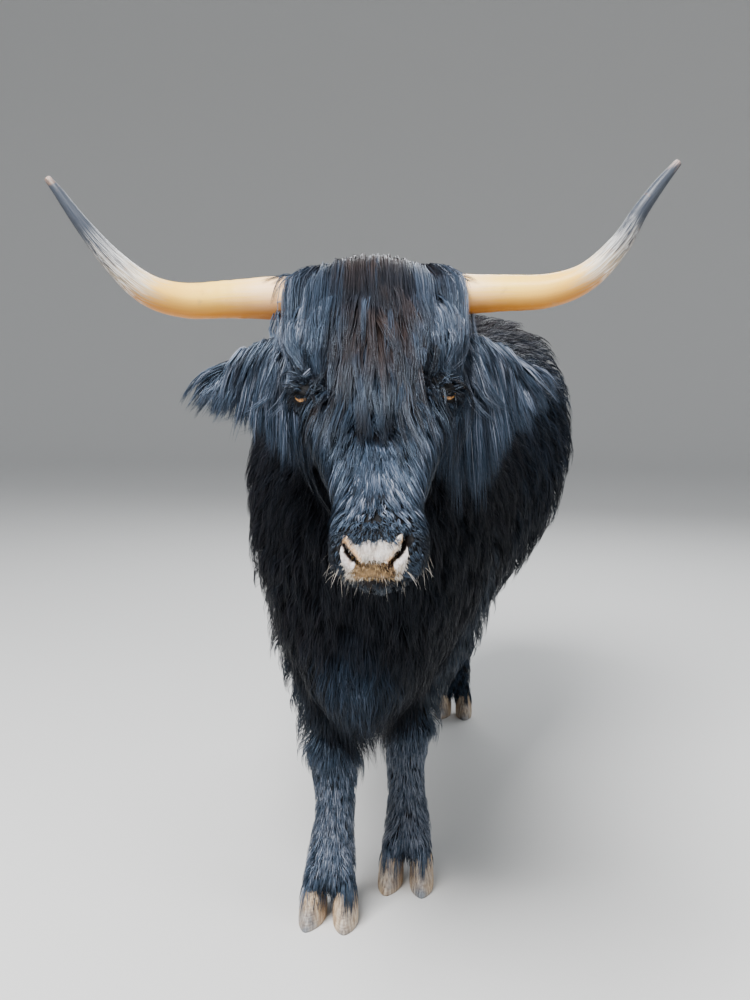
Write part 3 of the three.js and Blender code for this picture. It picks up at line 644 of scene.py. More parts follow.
def lie_of_coat(points, normals, region):
    """The direction, length, weight and density of the hair at each point of the skin."""
    place = points - np.array(ORIGIN)
    face = within(FACE_FRAME, points)
    facing = unit(normals @ np.array(FACE_FRAME)[:3, :3])
    x, y, z = place.T
    fx, fy, fz = face.T
    flow = np.zeros_like(points)
    length = LENGTH[region].copy()
    fall = FALL[region].copy()
    density = COUNT[region].astype(float)
    under = smooth(-0.25, -0.75, normals[:, 2])

    # Trunk: down and a little back, parted along the spine.
    middle = 0.058 * smooth(0.10, -0.30, y) + SWING * smooth(0.15, 1.10, y)
    side = np.tanh((x - middle) / 0.05)
    top = smooth(0.35, 0.95, normals[:, 2])
    flow[:] = np.stack([0.75 * side * top, 0.22 + 0.4 * top, np.full(len(x), -1.0)], -1)
    fall = fall + 0.25 * under
    length = length * (1 - 0.25 * under) * (1 - 0.25 * top)

    def there(*names):
        return np.isin(region, [R[n] for n in names])

    legs = there("fore_lower", "hind_lower", "fore_upper", "hind_upper", "tail_core")
    flow[legs] = (0, 0.12, -1)
    # Hair hangs over the tops of the claws.
    fringe = there("fore_lower", "hind_lower") * smooth(0.105, 0.080, z)
    flow[legs] += (fringe[:, None] * (0, -0.45, 0))[legs]
    fall = np.maximum(fall, 0.8 * fringe)
    length = length + 0.020 * fringe
    # Longer hair fills the hollow between the forelegs.
    within_legs = there("fore_upper") * smooth(0.2, 0.8, -np.sign(x - FORE_MIDDLE) * normals[:, 0])
    length = length + 0.045 * within_legs
    fall = fall + 0.15 * within_legs
    between = there("chest", "barrel") * under * smooth(0.50, 0.30, y)
    between = between * smooth(0.16, 0.08, np.abs(x - FORE_MIDDLE))
    length = length + 0.085 * between
    fall = fall + 0.35 * between
    dock = there("tail_dock")
    flow[dock] = (0, 0.35, -1)

    # Face: down the nose and out from its middle, and down the cheeks.
    head = there("head", "muzzle", "jaw")
    cheek = smooth(0.45, 0.85, np.abs(facing[:, 0])) + smooth(0.0, 0.4, facing[:, 1])
    cheek = np.clip(cheek, 0, 1)[:, None]
    out = np.tanh((fx - FACE_MIDDLE) / 40) * (0.42 - 0.15 * smooth(-60, 60, fz))
    out = out + 0.35 * np.tanh((fx - FACE_MIDDLE) / 30) * smooth(-225, -275, fz)
    nose = turned(FACE_FRAME, np.stack([out, np.zeros(len(x)), np.full(len(x), -1.0)], -1))
    flow[head] = (nose * (1 - cheek) + (HANG + (0, 0.25, 0)) * cheek)[head]
    bare = pad_share(face)
    short = smooth(-10, 95, fz + 268 + 0.15 * np.abs(fx))
    length[head] = (0.011 + (length - 0.011) * short)[head]
    parted = 1 + 0.9 * np.exp(-(((fx - FACE_MIDDLE) / 16) ** 2)) * smooth(-240, -160, fz)
    density[head] = (density * parted * (1 - smooth(0.3, 0.6, bare)))[head]
    density[head] *= smooth(1.0, 3.5, np.abs(from_mouth(face)) + 40 * smooth(-200, -160, fz))[head]
    for sign in (1, -1):
        axes = eye_axes(sign)
        rim, distance, _ = from_opening(points, sign)
        by_eye = head & (distance < 0.055)
        # Round the eye the hair swirls away from the lids, out and down.
        away = points - axes[0]
        away = unit(away - dot(away, axes[1]) * axes[1])
        swirl = unit(0.6 * away + 0.75 * HANG + 0.3 * axes[2])
        share = smooth(0.052, 0.026, distance)[:, None]
        turned_away = unit(unit(flow) * (1 - share) + swirl * share)
        flow[by_eye] = turned_away[by_eye]
        length[by_eye] *= (0.22 + 0.78 * smooth(0.022, 0.055, distance))[by_eye]
        density[by_eye & (rim < 3)] = 0
        density[head] *= smooth(4, 7, from_hole(face, sign))[head]

    # Forelock: out from the crest in every direction, then down over the brow.
    lock = there("forelock")
    crest = np.stack([np.clip(fx, CREST[0], CREST[1]) * 0.85, np.full(len(x), CREST[2]),
                      np.full(len(x), CREST[3])], -1)
    radial = unit(face - crest)
    crown = np.maximum(smooth(60, 250, fz), smooth(-50, 0, fy))[:, None]
    parting = 0.16 * np.tanh((fx - FACE_MIDDLE) / 12) * np.exp(-((fx / 60) ** 2))
    parting *= smooth(-60, 70, fz)
    down = np.stack([parting + 0.0015 * fx, 0.25 * (facing[:, 1] > 0), np.full(len(x), -1.0)], -1)
    falls = turned(FACE_FRAME, radial * crown + down * (1 - 0.75 * crown))
    flow[lock] = falls[lock]
    end = forelock_end(fx)
    length[lock] = np.clip((fz - end) * MM * HEAD_SIZE * 1.05, 0.072, 0.215)[lock]
    behind = smooth(0.0, 0.5, facing[:, 1])
    length[lock] = (length * (1 - behind) + 0.19 * behind)[lock]
    above, before, beside = CROWN_LIMITS
    density[lock & (fz > above) & (fy < before) & (np.abs(fx - FACE_MIDDLE) < beside)] = 0

    # Ears: out along the leaf and drooping, straight down by the head.
    ear = there("ear")
    ear_at = within(HEAD_FRAME, points)
    sign = np.sign(ear_at[:, 0])
    reach = ear_reach(sign)
    share = np.abs(ear_at[:, 0]) / reach
    outward = 0.05 + 0.40 * smooth(0.35, 0.60, share) + 0.95 * smooth(0.65, 0.95, share)
    droop = turned(HEAD_FRAME, np.stack([sign * outward, np.full(len(x), -0.12),
                                         -1 + 0.3 * smooth(0.6, 0.95, share)], -1))
    flow[ear] = droop[ear]
    fullness = np.where(sign > 0, 1.0, 0.8)
    hang = through([170, 205, 215, 190, 130, 80, 45], np.clip((share - 0.26) / 0.66, 0, 1))
    length[ear] = (hang * fullness * MM * HEAD_SIZE)[ear] * 0.92

    flow = flow - normals * dot(flow, normals)
    return {"flow": unit(flow), "length": length, "fall": fall, "density": density,
            "face": face, "place": place, "bare": bare}


def forelock_end(across):
    """How far down the face the forelock hangs, by how far across it lies."""
    x = np.abs(across - FACE_MIDDLE)
    return -120 + 150 * smooth(30, 72, x)


# ---- growing the coat ----
class Ground:
    """The skin that hair grows from, and what is known at each of its points."""

    def __init__(self, mesh, region):
        self.points, self.triangles = points_of(mesh), triangles_of(mesh)
        self.edges = edges_of(mesh)
        normals = normals_of(self.points, self.triangles)
        self.normals = unit(spread(normals, self.edges, 4))
        self.region = region
        self.__dict__.update(lie_of_coat(self.points, self.normals, region))
        flow = spread(self.flow, self.edges, 8)
        self.flow = unit(flow - self.normals * dot(flow, self.normals))
        depth = np.array([COAT_DEPTH[r] for r in REGIONS])[region]
        depth = np.maximum(depth, 0.006)
        depth[region == R["muzzle"]] = 0.0035
        on_head = region == R["head"]
        depth[on_head] = (0.0040 + 0.0050 * smooth(-262, -190, self.face[:, 2]))[on_head]
        # The lower locks of the forelock lie down on the bridge of the nose.
        lower = 0.35 + 0.65 * smooth(-115, 10, self.face[:, 2])
        depth[region == R["forelock"]] *= lower[region == R["forelock"]]
        self.depth = spread(depth, self.edges, 10)
        self.tree = kdtree.KDTree(len(self.points))
        for i, p in enumerate(self.points.tolist()):
            self.tree.insert(p, i)
        self.tree.balance()

    def nearest(self, points):
        find = self.tree.find
        return np.array([find(p)[1] for p in points.tolist()])

    def roots(self):
        """Places for the locks, spread evenly, and the point of the skin nearest to each."""
        a, b, c = (self.points[self.triangles[:, k]] for k in range(3))
        area = 0.5 * np.linalg.norm(np.cross(b - a, c - a), axis=1)
        region = self.region[self.triangles[:, 0]]
        wanted = area * self.density[self.triangles].mean(1) / STRANDS[region]
        cell = np.floor((a + 10) / 0.03).astype(int)
        order = np.lexsort((a[:, 0], cell[:, 2], cell[:, 1], cell[:, 0]))
        total = np.cumsum(wanted[order])
        picks = np.arange(0.5, total[-1], 1.0)
        chosen = order[np.searchsorted(total, picks)]
        u, v = rng.random((2, len(chosen)))
        u, v = np.where(u + v > 1, 1 - u, u), np.where(u + v > 1, 1 - v, v)
        places = a[chosen] + u[:, None] * (b - a)[chosen] + v[:, None] * (c - a)[chosen]
        return places, self.nearest(places)


STEPS = 9  # along a lock
# How much of the coat's depth its locks are spread over. The rest lie at the top of it.
DEPTHS_USED = np.full(len(REGIONS), 0.8)
DEPTHS_USED[R["forelock"]] = 0.40
STRAY = np.full(len(REGIONS), 0.15)  # how far locks turn from the lie of the coat
STRAY[[R["forelock"], R["ear"]]] = 0.075
STRAY[[R["neck"], R["chest"], R["barrel"], R["rump"]]] = 0.11
STRAY[[R["fore_lower"], R["hind_lower"], R["fore_upper"], R["head"]]] = 0.08
CROSSING = {1: 0.05, -1: 0.015}  # the share of hair that is let across the left and right eye
FREE_LOCKS = 0.25  # the share of the forelock's locks that hang free of the rest, and longer
WILD_STRANDS = 0.16  # the share of strands that hardly close up with their lock
# The share of the forelock's locks that carry strong painted sheen and show paler.
SHEENED_LOCKS = 0.07  # of the forelock
ROOT_DEPTH = 0.002  # how far under the skin a lock starts
STRAND_DEPTH = 0.0015


def grow_locks(ground, places, near):
    """The line of each lock from root to tip, and which way is out from the skin along it."""
    count = len(places)
    region = ground.region[near]
    long = ground.length[near] * rng.uniform(0.72, 1.12, count)
    layer = 1 - DEPTHS_USED[region] * rng.random(count) ** 1.6
    free = (region == R["forelock"]) & (rng.random(count) < FREE_LOCKS)
    long = long * np.where(region == R["forelock"], np.where(free, 1.15, 0.85), 1.0)
    height = ground.depth[near] * layer
    fall = ground.fall[near]
    step = (long / (STEPS - 1))[:, None]
    leg = np.isin(region, [R["fore_upper"], R["fore_lower"], R["hind_lower"]])
    lift = np.clip(2.4 * height / long, 0.12, np.where(leg, 0.26, 0.5))[:, None]
    line = np.empty((count, STEPS, 3))
    out = np.empty((count, STEPS, 3))
    line[:, 0] = places - ground.normals[near] * ROOT_DEPTH
    out[:, 0] = ground.normals[near]
    flow, normal = ground.flow[near], ground.normals[near]
    on_crown = (region == R["forelock"]) & (ground.face[near][:, 2] > 200)
    lift[on_crown] *= 0.4
    sideways = np.cross(normal, flow)
    short_hair = smooth(0.10, 0.04, long)[:, None]
    stray = rng.normal(0, 1, (count, 1)) * (STRAY[region][:, None] - 0.07 * short_hair)
    heading = unit(flow + lift * normal + stray * sideways)
    bend = rng.normal(0, 0.55, (count, 1)) * STRAY[region][:, None]
    for s in range(1, STEPS):
        at = line[:, s - 1] + heading * step
        near = ground.nearest(at)
        flow, normal = ground.flow[near], ground.normals[near]
        above = dot(at - ground.points[near], normal)[:, 0]
        want = height * smooth(0, 0.55, np.full(count, s / (STEPS - 1)))
        low, high = np.maximum(want - above, 0), np.maximum(above - want, 0)
        held = np.where(on_crown, 0.80, 0.22 * (1 - np.clip(fall * 1.6, 0, 1)))
        pull = 0.75 * low - held * high
        at = at + normal * pull[:, None]
        line[:, s] = at
        out[:, s] = normal
        along = unit(flow - normal * dot(flow, normal))
        heading = along * (1 - fall[:, None]) + HANG * fall[:, None]
        into = np.minimum(dot(heading, normal), 0) * (above < 0.5 * height)[:, None]
        heading = heading - normal * into
        sideways = np.cross(normal, along)
        heading = unit(heading + (stray + bend * s / STEPS) * sideways)
        heading = unit(heading + 0.6 * unit(line[:, s] - line[:, s - 1]))
    # Waves across the lock, growing to its tip.
    t = np.linspace(0, 1, STEPS)[None, :, None]
    turns = rng.uniform(0.6, 1.7, (count, 1, 1))
    phase = rng.uniform(0, 2 * math.pi, (count, 1, 1))
    across = unit(np.cross(out, np.gradient(line, axis=1)))
    swing = WAVE[region][:, None, None] * rng.normal(1, 0.4, (count, 1, 1))
    line += across * swing * t * (np.sin(turns * 2 * math.pi * t + phase) - np.sin(phase))
    hang_from_ears(line, out, region)
    for name, (more, away) in (("forelock", draped_locks()), ("forelock", crown_locks()),
                               ("ear", edge_locks()), ("fore_lower", claw_locks())):
        line, out = np.concatenate([line, more]), np.concatenate([out, away])
        region = np.append(region, np.full(len(more), R[name]))
    return line, unit(spread_along(out)), region


# Where the hair that starts at a share of an ear's reach ends, as a share of its reach, and
# how high the ends of the hair hang along each ear, from a share of 0.3 to its tip.
EAR_STARTS = (0.26, 0.88)
EAR_ENDS = [0.26, 0.36, 0.50, 0.66, 0.82, 0.93, 1.0]
EAR_FRINGE = {1: [-125, -145, -150, -145, -92, -55, -25, 0],
              -1: [-105, -105, -95, -60, -40, -22, -17, 0]}


def hang_from_ears(line, out, region):
    """Lays the locks of the ears in a fan from the ear's upper edge to the ends of its fringe."""
    chosen = np.nonzero(region == R["ear"])[0]
    root = within(HEAD_FRAME, line[chosen, 0])
    normal = unit(out[chosen, 0] @ np.array(HEAD_FRAME)[:3, :3])
    sign = np.sign(root[:, 0])
    reach = ear_reach(sign)
    at = np.abs(root[:, 0]) / reach
    first, last = EAR_STARTS
    start, end = at.copy(), at.copy()
    high, low = 92 - 60 * smooth(0.60, 0.95, at), np.zeros(len(at))
    for _ in range(4):
        end = through(EAR_ENDS, (start - first) / (last - first))
        share = (end - 0.3) / 0.7
        low = np.where(sign > 0, through(EAR_FRINGE[1], share), through(EAR_FRINGE[-1], share))
        start = np.clip(at - (end - start) * np.clip((high - root[:, 2]) / (high - low), 0, 1),
                        first, last)
    ragged = rng.uniform(0.80, 1.05, len(at)) + 0.2 * (rng.random(len(at)) < 0.06)
    tip = np.stack([sign * end * reach, root[:, 1] + normal[:, 1] * rng.uniform(4, 22, len(at)),
                    low], -1)
    # Along the upper edge the hair lies outwards, so that it covers the edge.
    edge = smooth(0.25, 0.75, normal[:, 2])
    tip[:, 0] += sign * 40 * edge * smooth(0.98, 0.7, at)
    tip[:, 2] += (root[:, 2] - 45 - low) * 0.6 * edge
    tip = root + (tip - root) * ragged[:, None]
    tip += rng.normal(0, 1, tip.shape) * (4, 3, 3)
    middle = root + normal * rng.uniform(6, 16, (len(at), 1)) + (tip - root) * 0.32
    middle[:, 2] += 6
    middle[:, 0] += sign * 14 * edge
    t = np.linspace(0, 1, STEPS)[None, :, None]
    path = (1 - t) ** 2 * root[:, None] + 2 * t * (1 - t) * middle[:, None] + t**2 * tip[:, None]
    line[chosen] = placed(HEAD_FRAME, path)
    wave = WAVE[R["ear"]] * t * np.sin(
        2 * math.pi * rng.uniform(0.5, 1.3, (len(at), 1, 1)) * t
        + rng.uniform(0, 6, (len(at), 1, 1)))
    line[chosen] += wave * turned(HEAD_FRAME, [(1, 0, 0)])
    facing = np.where(normal[:, 1:2] > 0, 1.0, -1.0) * (0, 1, 0) + 0.5 * normal
    out[chosen] = turned(HEAD_FRAME, facing)[:, None]


# ---- locks laid along given lines, where hair that follows the skin would miss a tight corner ----
# Over the root of each horn: how far to the side they start, pass over it and end, innermost and
# outermost, in the face's frame.
DRAPE_COUNT, DRAPE_FROM, DRAPE_OVER, DRAPE_TO = 75, (34, 80), (72, 136), (80, 138)
EDGE_COUNT = 42  # over the upper edge of each ear


def draped_locks():
    """The lines of the locks that fall over the roots of the horns, from the top of the head."""
    count = 2 * DRAPE_COUNT
    sign = np.repeat([1.0, -1.0], DRAPE_COUNT)
    share = rng.random(count) ** 0.8
    start, over, end = (sign * (inner + (outer - inner) * share)
                        for inner, outer in (DRAPE_FROM, DRAPE_OVER, DRAPE_TO))
    fall = rng.uniform(0.62, 1.0, count)
    near = rng.uniform(-6, 6, count)
    keys = np.stack([
        np.stack([start, rng.uniform(-44, -14, count), np.full(count, 250.0)], -1),
        np.stack([0.55 * start + 0.45 * over, -60 + near, 252 + 0.4 * near], -1),
        np.stack([over, -68 + 0.6 * near, 212 + near], -1),
        np.stack([0.5 * over + 0.5 * end, -60 + 0.5 * near, 165 - 20 * fall], -1),
        np.stack([end, -44 + 26 * fall, 150 - 75 * fall], -1),
    ])
    lines = placed(FACE_FRAME, drawn(keys))
    middle = placed(FACE_FRAME, np.stack([0.6 * start, np.full(count, -10.0),
                                          np.full(count, 190.0)], -1))
    return lines, unit(lines - middle[:, None])


# From the top of the head over the brow. The two profiles of these locks, on the skin and at the
# outside of the coat, are y and z in the face's frame.
CROWN_COUNT = 150
CROWN_HALF_WIDTH = 88
CROWN_FALL = 22  # how much lower the locks lie at the sides of the dome than on its middle
DOWN_IN_FACE = (0.766, -0.643)  # y and z of straight down, in the face's frame
CROWN_SKIN = [(-12, 250), (-42, 252), (-58, 240), (-70, 208), (-75, 168), (-73, 112), (-66, 60)]
CROWN_TOP = [(-12, 250), (-50, 268), (-78, 261), (-94, 222), (-98, 174), (-95, 114), (-86, 54)]


def crown_locks():
    """The lines of the locks that fall from the top of the head over the brow."""
    share = rng.uniform(-1, 1, CROWN_COUNT)
    start = FACE_MIDDLE + CROWN_HALF_WIDTH * share
    layer = 1 - 0.55 * rng.random(CROWN_COUNT) ** 1.4
    keys = []
    for k, (skin, top) in enumerate(zip(CROWN_SKIN, CROWN_TOP)):
        y = skin[0] + (top[0] - skin[0]) * layer
        z = skin[1] + (top[1] - skin[1]) * layer
        # The dome falls to its sides, and the locks spread as they come down.
        away = 0.16 * k / 6 * np.sign(share) * np.abs(share) ** 0.6 * 80
        x = start + away
        low = CROWN_FALL * ((x - FACE_MIDDLE) / 92) ** 2 * (1 if k in (1, 2, 3) else 0.4)
        keys.append(np.stack([x, y + DOWN_IN_FACE[0] * low, z + DOWN_IN_FACE[1] * low], -1))
    keys[0][:, 1] += rng.uniform(-26, 18, CROWN_COUNT)
    keys[1][:, 1] -= np.maximum(-keys[0][:, 1] - 30, 0)
    lines = drawn(np.array(keys))
    # They end at different heights.
    reach = rng.uniform(0.72, 1.0, CROWN_COUNT)
    t = np.linspace(0, 1, STEPS)[None] * reach[:, None]
    lines = along_line(lines, t)
    lines[..., 0] += 3 * t * np.sin(rng.uniform(3, 7, (CROWN_COUNT, 1)) * t
                                    + rng.uniform(0, 6, (CROWN_COUNT, 1)))
    middle = np.stack([0.6 * start, np.full(CROWN_COUNT, -10.0), np.full(CROWN_COUNT, 185.0)], -1)
    out = lines - middle[:, None]
    out[..., 2] = np.maximum(out[..., 2], 0)
    return placed(FACE_FRAME, lines), turned(FACE_FRAME, out)


# The shape of a claw, which its hair follows.
CLAWS = [name for name in sorted(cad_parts) if "claw" in name]
CLAW_HALF = (0.052, 0.026)  # half its length and half its width on the ground
CLAW_LENGTHS = [1.0, 0.955, 0.89, 0.81, 0.70]  # up its wall, as shares of that on the ground
CLAW_WIDTHS = [1.0, 1.03, 1.0, 0.95, 0.86]
CLAW_POINT = 0.24  # how much narrower it is at the toe
CLAW_LEAN = 0.012  # how far its top lies behind its sole
WALL_RING = 0.007  # how deep the rings of its wall are, as a share of its width
CORONET_HEIGHT = 0.066
CLAW_SPLAY = math.radians(7)
CLAW_LOCKS = 24  # to each claw


def claw_side(node_name):
    """1 for the claws that lie outside on the left or inside on the right, and -1 for others."""
    return 1 if ("left" in node_name) == ("outer" in node_name) else -1


def claw_locks():
    """The lines of the locks that hang over the tops of the claws."""
    lines, outs = [], []
    for name in CLAWS:
        low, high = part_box(name)
        at = np.array((low + high) / 2) * (1, 1, 0)
        splay = Matrix.Rotation(claw_side(name) * CLAW_SPLAY, 4, "Z")
        angle = rng.uniform(0, 2 * math.pi, CLAW_LOCKS)
        front = np.maximum(0, -np.sin(angle))
        drop = rng.uniform(0.30, 0.62, CLAW_LOCKS) + 0.25 * (rng.random(CLAW_LOCKS) < 0.25) * front
        keys = []
        for share, high_at in ((0.60, 1.30), (0.86, 1.12), (1.03, 0.92), (1.05, 0.75), (1.05, 0.0)):
            height = np.full(CLAW_LOCKS, high_at) if high_at else 1 - drop
            height = np.where(share > 1.04, 1 - drop * (0.55 if high_at else 1.0), height)
            wall = np.clip(height, 0, 1)
            long = CLAW_HALF[0] * through(CLAW_LENGTHS, wall)
            wide = CLAW_HALF[1] * through(CLAW_WIDTHS, wall)
            x = np.cos(angle) * (1 - CLAW_POINT * front**2) * wide * share
            y = np.sin(angle) * long * share + CLAW_LEAN * height
            keys.append(np.stack([x, y, height * CORONET_HEIGHT + 0.002], -1))
        line = placed(splay, drawn(np.array(keys))) + at
        lines.append(line)
        away = line - (at + (0, 0.01, 0.03))
        outs.append(unit(away * (1, 1, 0.4)))
    return np.concatenate(lines), np.concatenate(outs)


def edge_locks():
    """The lines of the locks that lie over the upper edges of the ears."""
    count = 2 * EDGE_COUNT
    sign = np.repeat([1.0, -1.0], EDGE_COUNT)
    at = rng.uniform(0.20, 0.66, count)
    reach = ear_reach(sign)
    share, height, half, back = np.array(EAR_LEAF).T
    height, half, back = (np.interp(at, share, v) for v in (height, half, back))
    top = height + half
    out, drop = rng.uniform(22, 52, count), rng.uniform(30, 85, count)
    x = at * reach
    keys = np.stack([
        np.stack([sign * x, back + rng.uniform(-4, 10, count), top - 3], -1),
        np.stack([sign * (x + 0.30 * out), back - 6, top + rng.uniform(3, 9, count)], -1),
        np.stack([sign * (x + 0.62 * out), back - 15, top - 0.22 * drop], -1),
        np.stack([sign * (x + 0.86 * out), back - 22, top - 0.58 * drop], -1),
        np.stack([sign * (x + out), back - 24, top - drop], -1),
    ])
    lines = placed(HEAD_FRAME, drawn(keys))
    return lines, np.broadcast_to(turned(HEAD_FRAME, [(0, -0.9, 0.45)]), lines.shape).copy()


def drawn(keys):
    """Smooth lines of STEPS points through keys, which come first of their axes."""
    lines = through(keys.reshape(len(keys), -1), np.linspace(0, 1, STEPS))
    return lines.reshape(STEPS, -1, 3).transpose(1, 0, 2)


# ---- strands, and the pieces of the coat ----
def spread_along(values):
    """Values along each lock, evened out."""
    for _ in range(2):
        inner = (values[:, :-2] + 2 * values[:, 1:-1] + values[:, 2:]) / 4
        values = np.concatenate([values[:, :1], inner, values[:, -1:]], 1)
    return values


def clear_of_eyes(path):
    """Which strands keep out of the way of the eyes. A few may cross in front of one."""
    clear = np.ones(len(path), bool)
    for sign in (1, -1):
        near = np.linalg.norm(path - eye_axes(sign)[0], axis=2).min(1) < 0.055
        if not near.any():
            continue
        rim, distance, _ = from_opening(path[near].reshape(-1, 3), sign)
        crosses = ((rim < 5) & (distance < 0.09)).reshape(near.sum(), -1).any(1)
        clear[near] = ~crosses | (rng.random(len(crosses)) < CROSSING[sign])
    return clear


def along_line(values, t):
    """Values of lines of STEPS points, read at places t from 0 to 1."""
    at = np.clip(t, 0, 1) * (STEPS - 1)
    i = np.minimum(at.astype(int), STEPS - 2)
    f = (at - i)[..., None]
    rows = np.arange(len(values))[:, None]
    return values[rows, i] * (1 - f) + values[rows, i + 1] * f


def strands_of(ground, line, out, region, pieces):
    """The strands of some locks: for each its points, the directions out from the skin, the
    part of the skin nearest its root and the lock it belongs to."""
    per = STRANDS[region]
    lock = np.repeat(np.arange(len(line)), per)
    count = len(lock)
    kind = region[lock]
    root_out = out[lock, 0]
    first = unit(line[lock, 1] - line[lock, 0])
    side = unit(np.cross(root_out, first))
    ahead = np.cross(side, root_out)
    angle = rng.uniform(0, 2 * math.pi, count)
    radius = ROOT[kind] * np.sqrt(rng.random(count))
    offset = side * (np.cos(angle) * radius)[:, None] + ahead * (np.sin(angle) * radius)[:, None]
    root = line[lock, 0] + offset
    near = ground.nearest(root)
    normal = ground.normals[near]
    root = root - normal * (dot(root - ground.points[near], normal) + STRAND_DEPTH)
    offset = root - line[lock, 0]
    t = np.linspace(0, 1, pieces + 1)[None, :]
    reach = np.clip(rng.normal(0.93, 0.13, (count, 1)), 0.5, 1.0)
    wild = rng.random((count, 1)) < WILD_STRANDS
    closing = np.where(wild, 0.25, CLOSING[kind][:, None]) * rng.uniform(0.8, 1.15, (count, 1))
    path = along_line(line[lock], t * reach)
    outward = unit(along_line(out[lock], t * reach))
    path += offset[:, None] * (1 - np.clip(closing, 0, 1) * t**1.2)[..., None]
    # Each strand strays a little from its lock.
    sway = WAVE[kind][:, None, None] * np.where(wild, 1.5, 0.7)[..., None]
    phase = rng.uniform(0, 2 * math.pi, (count, 1, 1))
    turns = rng.uniform(0.5, 1.4, (count, 1, 1))
    grow = t[..., None]
    swing = np.sin(turns * 2 * math.pi * grow + phase) - np.sin(phase)
    lift = rng.normal(0, 0.35, (count, 1, 1)) * sway * grow
    path += side[:, None] * sway * grow * swing + outward * lift
    return path, outward, near, lock


def ribbon_arrays(path, outward, width, twist):
    """Flat tapering strands: two points at each place along a path and one at its tip, and a
    normal for each that rounds the strand."""
    count, places, _ = path.shape
    ahead = unit(np.gradient(path, axis=1))
    across = unit(np.cross(ahead, outward))
    over = np.cross(across, ahead)
    cos, sin = np.cos(twist)[:, None, None], np.sin(twist)[:, None, None]
    side = across * cos + over * sin
    face = over * cos - across * sin
    t = np.linspace(0, 1, places)
    taper = (1 - t**2.2) * (0.6 + 0.4 * np.minimum(1, t / 0.2))
    half = side * (0.5 * width[:, None] * taper)[..., None]
    left, right = path - half, path + half
    points = np.stack([left[:, :-1], right[:, :-1]], 2).reshape(count, -1, 3)
    points = np.concatenate([points, path[:, -1:]], 1)
    bulge = 0.85
    normals = np.stack([face - bulge * side, face + bulge * side], 2)[:, :-1]
    normals = np.concatenate([normals.reshape(count, -1, 3), face[:, -1:]], 1)
    return points, unit(normals)


BAKE_PATCH = 0.003


def coat_mesh(name, points, normals, skin_uv, strand):
    """A mesh of many strands. strand holds for each its lightness, its brownness and how much
    painted sheen it carries."""
    count, corners, _ = points.shape
    segments = (corners - 1) // 2
    i = np.arange(segments - 1)
    quad = np.stack([2 * i, 2 * i + 1, 2 * i + 3, 2 * i + 2], -1)
    tip = np.array([[corners - 3, corners - 2, corners - 1]])
    base = (np.arange(count) * corners)[:, None, None]
    quads, tips = (base + quad).reshape(-1, 4), (base + tip).reshape(-1, 3)
    mesh = build_mesh(name, points.reshape(-1, 3), [quads, tips])
    along = np.append(np.repeat(np.arange(segments) / segments, 2), 1.0)
    across = np.append(np.tile([0.0, 1.0], segments), 0.5)
    uv = np.stack([across, along], -1)[None] * BAKE_PATCH - BAKE_PATCH / 2
    uv = (skin_uv[:, None] + uv).reshape(-1, 2)
    layer = mesh.uv_layers.new(name="OFBake")
    order = np.concatenate([quads.ravel(), tips.ravel()])
    layer.data.foreach_set("uv", uv[order].astype(np.float32).ravel())
    note(mesh, "strand", np.broadcast_to(strand[:, None], (count, corners, 3)))
    grain = np.empty((count, corners, 3), np.float32)
    grain[..., 0] = across
    grain[..., 1] = along
    grain[..., 2] = strand[:, :1] * 50
    note(mesh, "grain", grain)
    mesh.normals_split_custom_set_from_vertices(normals.reshape(-1, 3).astype(np.float32))
    return mesh


# Pieces of the coat, and the parts of the body that each covers.
COAT_PIECES = {
    "face": ["head", "jaw", "muzzle"], "forelock": ["forelock"], "ears": ["ear"],
    "neck": ["neck"], "shoulders": ["chest"], "barrel": ["barrel"], "rump": ["rump", "udder"],
    "forelegs": ["fore_upper", "fore_lower"], "hindlegs": ["hind_upper", "hind_lower"],
    "tail": ["tail_dock", "tail_core"],
}
MOST_TRIANGLES = 180000  # in one piece of the coat
DULL = ("neck", "shoulders", "barrel", "rump", "hindlegs", "tail")  # pieces with less gloss


def strand_facts(ground, near, kind, lock, locks):
    """The lightness, brownness and painted sheen of each strand. The strands of a lock carry much
    the same painted sheen.
    """
    brown = brownness(ground, near)
    height = ground.face[near][:, 2]
    forelock = kind == R["forelock"]
    uneven = np.where(np.isin(kind, [R["head"], R["ear"]]), 0.40, 0.30)
    uneven = uneven + 0.55 * smooth(130, 20, height) * forelock
    painted_sheen = painted_sheen_of(ground, near, brown) * (1 + rng.normal(0, 1, locks)[lock] * uneven)
    # Painted sheen: a few locks of the forelock carry much of it and show paler.
    pale = (rng.random(locks) < SHEENED_LOCKS)[lock] & forelock & (height > 90)
    painted_sheen = np.where(pale, np.maximum(painted_sheen, 0.40), painted_sheen)
    brown = np.where(pale, 0.5 * brown, brown)
    shade = rng.random(len(near))
    shade = np.where(forelock, 0.2 + 0.6 * shade, shade)
    return np.stack([shade, brown, np.clip(painted_sheen, 0, 1)], -1)


